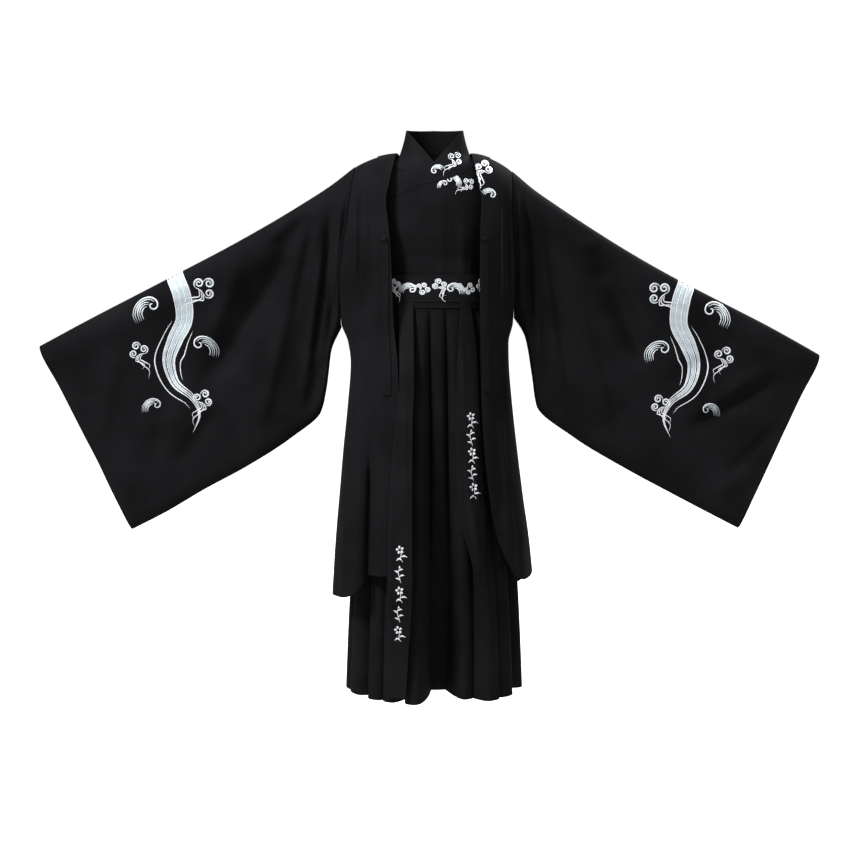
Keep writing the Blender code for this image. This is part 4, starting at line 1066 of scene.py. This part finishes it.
def collar(along, wide):
    """One long band, from its hidden end under the left front, round the neck, to the right side."""
    turn = collar_turn(along)
    low = through(NECKLINE, "turn", "low", np.abs(turn)) + SEAM * 4
    high = through(NECKLINE, "turn", "high", np.abs(turn))
    z = low + (high - low) * wide
    return ring_point(TOP_RINGS, turn, z, over_lift(turn, z))


def collar_sewn_on(along, wide):
    point = collar(along, wide)
    point[2] -= COLLAR_TURN_IN * (1 - wide) * (np.abs(collar_turn(along)) < COLLAR_BACK)
    return point


collar_cloth = chiffon("collar_chiffon", black, 0.76, stitched=[("Y", COLLAR_STITCH)])
collar_columns = finer(np.linspace(0, 1, COLLAR_COLUMNS), 4)
sewn(
    sheet_of("collar_cloth", collar_sewn_on, collar_columns, finer(np.linspace(0, 1, COLLAR_ROWS), 5)),
    "top_collar", collar_cloth, "top_cloth", COLLAR_THICKNESS,
    flat=(0.90, 0.066), held="draped", rests_on=["top_back", "top_front_under"],
)

# The embroidery at the wearer's left shoulder: clouds and waves on the collar, on the top's over front below
# it and on the robe's band beside them, in white and silver-blue satin stitch.
SEARCH = namedtuple("Search", "net share steps")(120, 400, 5)  # points each way, points at once, corrections


def seen_on(place, across, down, facing):
    """Finds the column and row of a surface at x, z from the front, and stands off it there by a height."""
    columns, rows = np.meshgrid(np.linspace(*across, SEARCH.net), np.linspace(*down, SEARCH.net))
    columns, rows = columns.ravel(), rows.ravel()
    seen = place(columns, rows)

    def spot(x, z, height):
        nearest = []
        for i in range(0, len(x), SEARCH.share):
            some = slice(i, i + SEARCH.share)
            away = (seen[0] - x[some, None]) ** 2 + (seen[2] - z[some, None]) ** 2
            nearest.append(np.argmin(away, axis=1))
        nearest = np.concatenate(nearest)
        a, d = columns[nearest], rows[nearest]
        for _ in range(SEARCH.steps):
            here = place(a, d)
            by_a = (place(a + SMALL_STEP, d) - here) / SMALL_STEP
            by_d = (place(a, d + SMALL_STEP) - here) / SMALL_STEP
            miss_x, miss_z = x - here[0], z - here[2]
            spread = by_a[0] * by_d[2] - by_a[2] * by_d[0]
            a = np.clip(a + (miss_x * by_d[2] - miss_z * by_d[0]) / spread, *across)
            d = np.clip(d + (miss_z * by_a[0] - miss_x * by_a[2]) / spread, *down)
        return outwards(place, a, d, facing * height)

    return spot


COLLAR_DESIGN = [
    Motif(cloud, 0.050, -0.009, 0.021, -34, 1, 1.6),
    Motif(wave, 0.006, -0.036, 0.017, 34, -1, 1.7),
]
CHEST_DESIGN = [
    Motif(wave, 0.046, -0.062, 0.021, -20, -1, 1.6),
    Motif(wave, 0.020, -0.072, 0.014, 18, 1, 1.7),
    Motif(cloud, 0.082, -0.070, 0.017, -52, 1, 1.6),
]
BAND_DESIGN = [
    Motif(cloud, 0.118, -0.032, 0.025, -16, -1, 1.5),
    Motif(wave, 0.132, -0.094, 0.018, -28, 1, 1.6),
]
collar_face = seen_on(collar, (0.40, 0.95), (0, 1), -1)
chest_face = seen_on(top_front(LEFT), (0.05, 0.95), (0, 6), 1)
band_face = seen_on(front_band(LEFT), (0.01, 1.0), (0.02, 0.9), -1)
for name, design, face, slot in (
    ("collar", COLLAR_DESIGN, collar_face, "top_cloth"),
    ("chest", CHEST_DESIGN, chest_face, "top_cloth"),
    ("shoulder", BAND_DESIGN, band_face, "robe_cloth"),
):
    embroider(name, design, face, slot, 0.0004, 0.0007)

# The skirt: a front and a back panel gathered into open pleats under a plain waistband. The pleats are not
# pressed flat, so they open towards the hem as round folds with dark hollows between them.
SKIRT_TOP, SKIRT_HEM, BELT_LOW = -0.335, -1.295, -0.366
SKIRT_RINGS = [
    Ring(-1.295, 0.2215, 0.2040, 0.1870),
    Ring(-1.150, 0.2150, 0.1970, 0.1810),
    Ring(-1.000, 0.2060, 0.1870, 0.1720),
    Ring(-0.800, 0.1900, 0.1660, 0.1540),
    Ring(-0.650, 0.1770, 0.1490, 0.1390),
    Ring(-0.550, 0.1680, 0.1370, 0.1290),
    Ring(-0.450, 0.1570, 0.1230, 0.1180),
    Ring(-0.400, 0.1505, 0.1145, 0.1125),
    Ring(-0.366, 0.1436, 0.1063, 0.1063),
    Ring(-0.285, 0.1436, 0.1063, 0.1063),
]
# Each pleat begins at a line from the waist to the hem, in degrees from the front towards the left. At the
# hem the line lies "line" inside the envelope, and the pleat's middle "sunk" inside it.
Pleat = namedtuple("Pleat", "waist hem line sunk")
FRONT_PLEATS = [
    Pleat(-90.0, -90.0, 0.004, 0.004),
    Pleat(-73.5, -73.0, 0.006, 0.003),
    Pleat(-55.0, -51.0, 0.036, 0.003),
    Pleat(-37.5, -36.0, 0.012, 0.004),
    Pleat(-20.7, -22.5, 0.048, 0.002),
    Pleat(-4.3, -4.6, 0.110, 0.142),
    Pleat(11.0, 18.0, 0.110, 0.040),
    Pleat(27.0, 31.0, 0.042, 0.000),
    Pleat(43.5, 47.5, 0.008, 0.002),
    Pleat(60.0, 66.0, 0.050, 0.072),
    Pleat(75.0, 75.5, 0.024, 0.004),
    Pleat(90.0, 90.0, 0.004, 0.004),
]
BACK_PLEATS = [
    Pleat(90.0, 90.0, 0.004, 0.004),
    Pleat(106.0, 105.0, 0.034, 0.020),
    Pleat(122.5, 121.0, 0.042, 0.002),
    Pleat(139.0, 140.0, 0.050, 0.048),
    Pleat(155.5, 154.0, 0.055, 0.004),
    Pleat(172.0, 174.0, 0.060, 0.060),
    Pleat(188.5, 187.0, 0.055, 0.002),
    Pleat(205.0, 208.0, 0.046, 0.036),
    Pleat(221.5, 221.0, 0.044, 0.003),
    Pleat(238.0, 241.0, 0.042, 0.034),
    Pleat(254.0, 255.0, 0.032, 0.006),
    Pleat(270.0, 270.0, 0.004, 0.004),
]
PLEAT_STEPS = [0.0, 0.09, 0.33, 0.67, 0.91]  # parts of a pleat where its columns are
SIDE_GAP = 0.002  # part of a pleat left open at each side seam
LINE_FAN, SUNK_FAN = 0.75, 1.35  # how fast lines and middles reach their depths on the way down
PLEAT_FLATNESS = 3.2  # exponent of a pleat's section, higher for a flatter floor
LINE_START, LINE_RISE = 0.004, 0.03  # depth of the lines just below the sash, and the part it begins over
FAN_HASTE = 1.1  # above 1, the pleats have fanned out a little above the hem
SKIRT_STEPS = [0, 0.033, 0.08, 0.16, 0.27, 0.41, 0.57, 0.75, 0.89, 1]
Wrap = namedtuple("Wrap", "top low")
WAISTBAND = Wrap(-0.2885, SKIRT_TOP + 2 * SEAM)
WRAP_PIECES = 48
CHORD = 0.0003  # what goes round the waist stands off this much more, as its flat facets cut the corner
WRAP_OPENING = 1.6  # degrees left between its two ends, at the back


def skirt(pleats):
    """The columns count pleats, and the rows run from the waist (0) to the hem (1)."""

    def place(count, down):
        first = np.clip(np.floor(count + 1e-9).astype(int), 0, len(pleats) - 2)
        t = count - first
        columns = {name: np.array([getattr(p, name) for p in pleats]) for name in Pleat._fields}
        z = SKIRT_TOP + (SKIRT_HEM - SKIRT_TOP) * down
        waist = columns["waist"][first] * (1 - t) + columns["waist"][first + 1] * t
        hem = columns["hem"][first] * (1 - t) + columns["hem"][first + 1] * t
        turn = 180 - (waist + (hem - waist) * smooth(down * FAN_HASTE))
        line = np.where(t < 0.5, columns["line"][first], columns["line"][first + 1])
        open_out = np.maximum(BELT_LOW - z, 0) / (BELT_LOW - SKIRT_HEM)
        sunk = columns["sunk"][first] * open_out**SUNK_FAN
        line = line * open_out**LINE_FAN + LINE_START * smooth(open_out / LINE_RISE)
        bend = np.abs(2 * t - 1) ** PLEAT_FLATNESS
        inset = sunk + (np.maximum(line, sunk) - sunk) * bend
        return ring_point(SKIRT_RINGS, turn, z, -inset)

    return place


def round_waist(wrap, lift):
    """An upright band round the waist, the given lift outside the skirt's top."""

    def place(turn, down):
        x, y, _ = ring_point(SKIRT_RINGS, turn, np.full(np.shape(turn), SKIRT_TOP), lift)
        return np.array([x, y, wrap.top + (wrap.low - wrap.top) * down])

    return place


skirt_cloth = chiffon("skirt_chiffon", black, 0.82, stitched=[("Y", HEM)])
pleat_columns = [count + step for count in range(len(FRONT_PLEATS) - 1) for step in PLEAT_STEPS]
pleat_columns = pleat_columns + [len(FRONT_PLEATS) - 1]
pleat_columns[0] += SIDE_GAP
pleat_columns[-1] -= SIDE_GAP
for word, pleats in (("front", FRONT_PLEATS), ("back", BACK_PLEATS)):
    piece = sheet_of(f"skirt_{word}_cloth", skirt(pleats), finer(pleat_columns, 4), finer(SKIRT_STEPS, 7))
    sewn(
        piece, f"skirt_{word}", skirt_cloth, "skirt_cloth",
        flat=(1.10, 0.99), held="gathered", rests_on=["skirt_waistband"], area=0.80,
    )
wrap_turns = np.linspace(WRAP_OPENING / 2, 360 - WRAP_OPENING / 2, 4 * WRAP_PIECES + 1)
sewn(
    sheet_of("waistband_cloth", round_waist(WAISTBAND, CHORD), wrap_turns, np.linspace(0, 1, 4)),
    "skirt_waistband", skirt_cloth, "skirt_cloth",
    flat=(0.80, 0.047), held="stretched", rests_on=["top_back"],
)

# The sash: a strip of chiffon wound twice round the waist, the outer turn embroidered, with both ends hanging
# down in front.
UNDER_WRAP, OUTER_WRAP = Wrap(-0.300, -0.3655), Wrap(-0.2865, -0.3510)
SASH_STITCH = 0.0030  # from the edge
# A hanging end's two edges at a height, and how far it lies over the robe's front, 1 for wholly
Strip = namedtuple("Strip", "z right left lift", defaults=(0.0,))
SASH_RIGHT = [
    Strip(-0.3516, -0.0850, -0.0500, 0.00),
    Strip(-0.4500, -0.0830, -0.0485, 0.45),
    Strip(-0.5460, -0.0822, -0.0473, 1.00),
    Strip(-0.6200, -0.0900, -0.0505, 1.00),
    Strip(-0.7200, -0.1000, -0.0515, 1.00),
    Strip(-0.8650, -0.1070, -0.0518, 1.00),
    Strip(-0.9950, -0.1090, -0.0512, 1.00),
    Strip(-1.1120, -0.1110, -0.0560, 0.70),
    Strip(-1.1700, -0.1125, -0.0605, 0.50),
    Strip(-1.2350, -0.1165, -0.0640, 0.35),
    Strip(-1.2780, -0.1185, -0.0676, 0.30),
]
SASH_LEFT = [
    Strip(-0.3516, 0.0620, 0.0850),
    Strip(-0.4100, 0.0585, 0.0940),
    Strip(-0.4600, 0.0550, 0.1000),
    Strip(-0.5500, 0.0525, 0.1040),
    Strip(-0.6200, 0.0515, 0.1080),
    Strip(-0.7200, 0.0520, 0.1130),
    Strip(-0.8000, 0.0560, 0.1160),
    Strip(-0.8600, 0.0600, 0.1200),
    Strip(-0.9400, 0.0820, 0.1200),
    Strip(-1.0000, 0.0980, 0.1220),
    Strip(-1.0500, 0.1160, 0.1280),
]
SASH_CREASES = [
    Fold(0.066, -0.420, 0.072, -0.640, 0.0030, 0.005),
    Fold(0.070, -0.700, 0.108, -1.010, 0.0060, 0.006),
    Fold(0.096, -0.620, 0.104, -0.880, 0.0045, 0.005),
    Fold(0.088, -0.800, 0.116, -1.000, 0.0050, 0.005),
    Fold(-0.070, -0.440, -0.066, -0.900, 0.0030, 0.006),
    Fold(-0.096, -0.800, -0.102, -1.180, 0.0030, 0.006),
]
ROBE_CLEAR = 0.0062  # from the robe's front to a sash end that lies over it
SKIRT_CLEAR = 0.0045  # from the skirt to a sash end, the height of the belt's outer turn
HANG_CLEAR, HANG_FALL = 0.0012, 0.05  # how much further out it hangs below the belt, and over what height
SASH_COLUMNS, SASH_RIGHT_ROWS, SASH_LEFT_ROWS = 4, 23, 19


def robe_front_y(x, z):
    """How far back the robe's front lies at a place seen from the front."""
    half = np.where(x < 0, robe_half(z, RIGHT), robe_half(z, LEFT))
    depth = through(ROBE_DEPTH, "z", "front", z)
    belly = np.clip(1 - (np.abs(x) / half) ** ROUNDNESS, 0, 1) ** (1 / ROUNDNESS)
    return -depth * belly - folds_at(ROBE_FRONT_FOLDS, x, z)


def skirt_front_y(x, z):
    half, depth = through(SKIRT_RINGS, "z", "half", z), through(SKIRT_RINGS, "z", "front", z)
    return -depth * np.sqrt(np.clip(1 - (x / half) ** 2, 0, 1))


def sash_end(strips):
    """Hangs from the belt in front of the skirt; where its lift is 1 it lies over the robe's front."""

    def place(wide, down):
        z = strips[0].z + (strips[-1].z - strips[0].z) * down
        rows = strips[::-1]
        right, left, lift = (through(rows, "z", name, z) for name in ("right", "left", "lift"))
        x = right + (left - right) * wide
        below_belt = smooth((strips[0].z - z) / HANG_FALL)
        on_skirt = skirt_front_y(x, z) - SKIRT_CLEAR - HANG_CLEAR * below_belt
        on_robe = np.minimum(robe_front_y(x, z) - ROBE_CLEAR, on_skirt)
        return np.array([x, on_skirt + (on_robe - on_skirt) * lift - folds_at(SASH_CREASES, x, z), z])

    return place


sash_black = (0.0028, 0.0028, 0.0031)
sash_cloth = chiffon("sash_chiffon", sash_black, 0.76, stitched=[("Y", SASH_STITCH)])
for word, wrap, lift in (("under", UNDER_WRAP, LAYER), ("outer", OUTER_WRAP, 2 * LAYER)):
    piece = sheet_of(f"belt_{word}_cloth", round_waist(wrap, lift + CHORD), wrap_turns, np.linspace(0, 1, 7))
    sewn(
        piece, f"belt_wrap_{word}", sash_cloth, "sash_cloth",
        flat=(0.82, 0.0655), held="stretched", rests_on=["skirt_waistband"],
    )

# The sash's embroidery: a row of clouds and waves along the outer turn, in white and silver-blue, and on each
# hanging end a column of five small flowering sprigs in white.
BELT_MOTIFS = [
    Motif(cloud, 0.0, -0.311, 0.0175, 16, 1, 1.9),
    Motif(wave, 0.0, -0.320, 0.0215, -6, 1, 1.9),
    Motif(cloud, 0.0, -0.320, 0.0165, -104, 1, 1.9),
]
BELT_COUNT, BELT_STEP, BELT_START = 24, 15.0, 5.0  # how many, how many degrees apart, and from where
SPRIG_SIZE, SPRIG_SWING, SPRIG_LEAN = 0.0190, 0.002, 12  # they swing aside and lean to left and right in turn
belt_size = ring_point(SKIRT_RINGS, np.array([0.0, 90.0]), np.full(2, SKIRT_TOP))
belt_reach = (abs(belt_size[0, 1]) + abs(belt_size[1, 0])) / 2


def belt_spot(x, z, height):
    """Here x is the distance along the sash from the middle of the front."""
    turn = 180 - np.degrees(x / belt_reach)
    across, deep, _ = ring_point(SKIRT_RINGS, turn, np.full(len(x), SKIRT_TOP), 2 * LAYER + CHORD + height)
    return np.array([across, deep, z])


belt_design = []
for number in range(BELT_COUNT):
    motif = BELT_MOTIFS[number % 3]
    turn = (BELT_STEP * number + BELT_START + 180) % 360 - 180
    belt_design.append(motif._replace(x=np.radians(turn) * belt_reach, flip=1 - 2 * (number % 2)))
embroider("belt", belt_design, belt_spot, "sash_cloth", 0.0004, 0.0007)


def sprig():
    """A stem with two leaves and a five-petalled flower, one unit tall each way."""
    stem = line_through([(0.05, -1.0), (-0.12, -0.5), (0.05, 0.0), (0.0, 0.25)], 12)
    white = [Stroke(stem, 0.06, 0.10, 0.08)]
    for side in SIDES:
        tip = (0.72 * side, -0.62 + 0.1 * side)
        leaf = [(-0.08, -0.55 + 0.2 * side), (0.35 * side, -0.40 + 0.1 * side), tip]
        white.append(Stroke(line_through(leaf, 10), 0.05, 0.26, 0.04))
    for petal in range(5):
        turn = np.radians(90 + 72 * petal)
        away = [(reach * np.cos(turn), 0.52 + reach * np.sin(turn)) for reach in (0.14, 0.52)]
        white.append(Stroke(line_through(away, 8), 0.10, 0.34, 0.16))
    return white, []


def twig():
    """A leaning twig with four leaves and a bud."""
    stem = line_through([(-0.45, -0.95), (-0.10, -0.3), (0.15, 0.3), (0.10, 0.85)], 12)
    white = [Stroke(stem, 0.07, 0.10, 0.06)]
    leaves = (
        (-0.28, -0.62, 0.62, 0.10), (-0.10, -0.25, -0.58, 0.28),
        (0.08, 0.10, 0.60, 0.22), (0.14, 0.40, -0.52, 0.30),
    )
    for x, z, reach, rise in leaves:
        leaf = [(x, z), (x + 0.5 * reach, z + 0.9 * rise), (x + reach, z + rise)]
        white.append(Stroke(line_through(leaf, 10), 0.05, 0.24, 0.04))
    white.append(Stroke(line_through([(0.10, 0.72), (0.12, 1.05)], 8), 0.14, 0.26, 0.06))
    return white, []


end_cloth = chiffon("sash_end_chiffon", sash_black, 0.78, stitched=[("X", SASH_STITCH)])
for word, strips, rows, size, aside, heights in (
    ("right", SASH_RIGHT, SASH_RIGHT_ROWS, (0.053, 0.95), 0.0, (-0.938, -0.985, -1.032, -1.078, -1.125)),
    ("left", SASH_LEFT, SASH_LEFT_ROWS, (0.057, 0.72), 0.007, (-0.632, -0.673, -0.715, -0.757, -0.798)),
):
    name = f"sash_end_{word}"
    columns = finer(np.linspace(0, 1, SASH_COLUMNS), 4)
    piece = sheet_of(f"{name}_cloth", sash_end(strips), columns, finer(np.linspace(0, 1, rows), 5))
    rests = ["belt_wrap_outer", "robe_front_right"]
    sewn(piece, name, end_cloth, "sash_cloth", flat=size, held="hung", rests_on=rests)
    column = []
    for i, z in enumerate(heights):
        x = sum(through(strips[::-1], "z", edge, z) for edge in ("right", "left")) / 2
        way = (-1) ** i
        x = float(x) + aside + SPRIG_SWING * way
        column.append(Motif((sprig, twig)[i % 2], x, z, SPRIG_SIZE, SPRIG_LEAN * way, way))
    embroider(name, column, seen_on(sash_end(strips), (0, 1), (0, 1), -1), "sash_cloth", 0.0008, 0.0008)

# The studio: a wide pale floor that glows by itself, painted light that keeps the garment's shadow off it,
# under a plain white sky, large soft lights before and behind, and a camera in front at waist height that
# looks slightly down.
FLOOR_Z, FLOOR_SIDE = -1.46, 60.0
bpy.ops.object.select_all(action="DESELECT")
bpy.ops.mesh.primitive_plane_add(size=FLOOR_SIDE)
floor = bpy.context.object
floor.name = "pale_floor"
for vertex in floor.data.vertices:
    vertex.co.z = FLOOR_Z
glowing_paper = bpy.data.materials.new("white_paper")
glowing_paper.use_nodes = True
pale = glowing_paper.node_tree.nodes["Principled BSDF"].inputs
pale["Base Color"].default_value = (0.35, 0.35, 0.35, 1)
pale["Roughness"].default_value = 0.9
# Painted light: the floor glows white, so no shadow of the garment shows on it, and the glow lights the cloth
# from below
pale["Emission Color"].default_value = (1, 1, 1, 1)
pale["Emission Strength"].default_value = 0.9
pale["Specular IOR Level"].default_value = 0.1
floor.data.materials.append(glowing_paper)

world = bpy.data.worlds.new("studio_air")
bpy.context.scene.world = world
world.use_nodes = True
sky = world.node_tree.nodes["Background"].inputs
sky["Color"].default_value = (1, 1, 1, 1)
sky["Strength"].default_value = 1.0
Lamp = namedtuple("Lamp", "name x y z turn_x turn_z size power")
LAMPS = [
    Lamp("key", -2.3, -2.1, 2.5, 46, -47, 0.9, 500),
    Lamp("top", 0.6, -0.6, 2.8, 12, 20, 1.0, 110),
    Lamp("back", 1.8, 2.6, 2.4, 47, 145, 1.0, 440),
]
for lamp in LAMPS:
    light = bpy.data.lights.new(lamp.name, "AREA")
    light.size, light.energy = lamp.size, lamp.power
    shade = bpy.data.objects.new(lamp.name, light)
    shade.location = (lamp.x, lamp.y, lamp.z)
    shade.rotation_euler = (np.radians(lamp.turn_x), 0, np.radians(lamp.turn_z))
    bpy.context.scene.collection.objects.link(shade)

CAMERA_X, CAMERA_AWAY, CAMERA_Z = -0.010, 3.6, -0.35
CAMERA_TILT, CAMERA_LENS, CAMERA_SHIFT = 2.0, 61.4, -0.090
bpy.context.scene.view_settings.view_transform = "Standard"
camera = bpy.data.objects.new("camera", bpy.data.cameras.new("camera"))
camera.data.lens, camera.data.shift_y = CAMERA_LENS, CAMERA_SHIFT
camera.location = (CAMERA_X, -CAMERA_AWAY, CAMERA_Z)
camera.rotation_euler = (np.radians(90 - CAMERA_TILT), 0, 0)
bpy.context.scene.collection.objects.link(camera)
bpy.context.scene.camera = camera
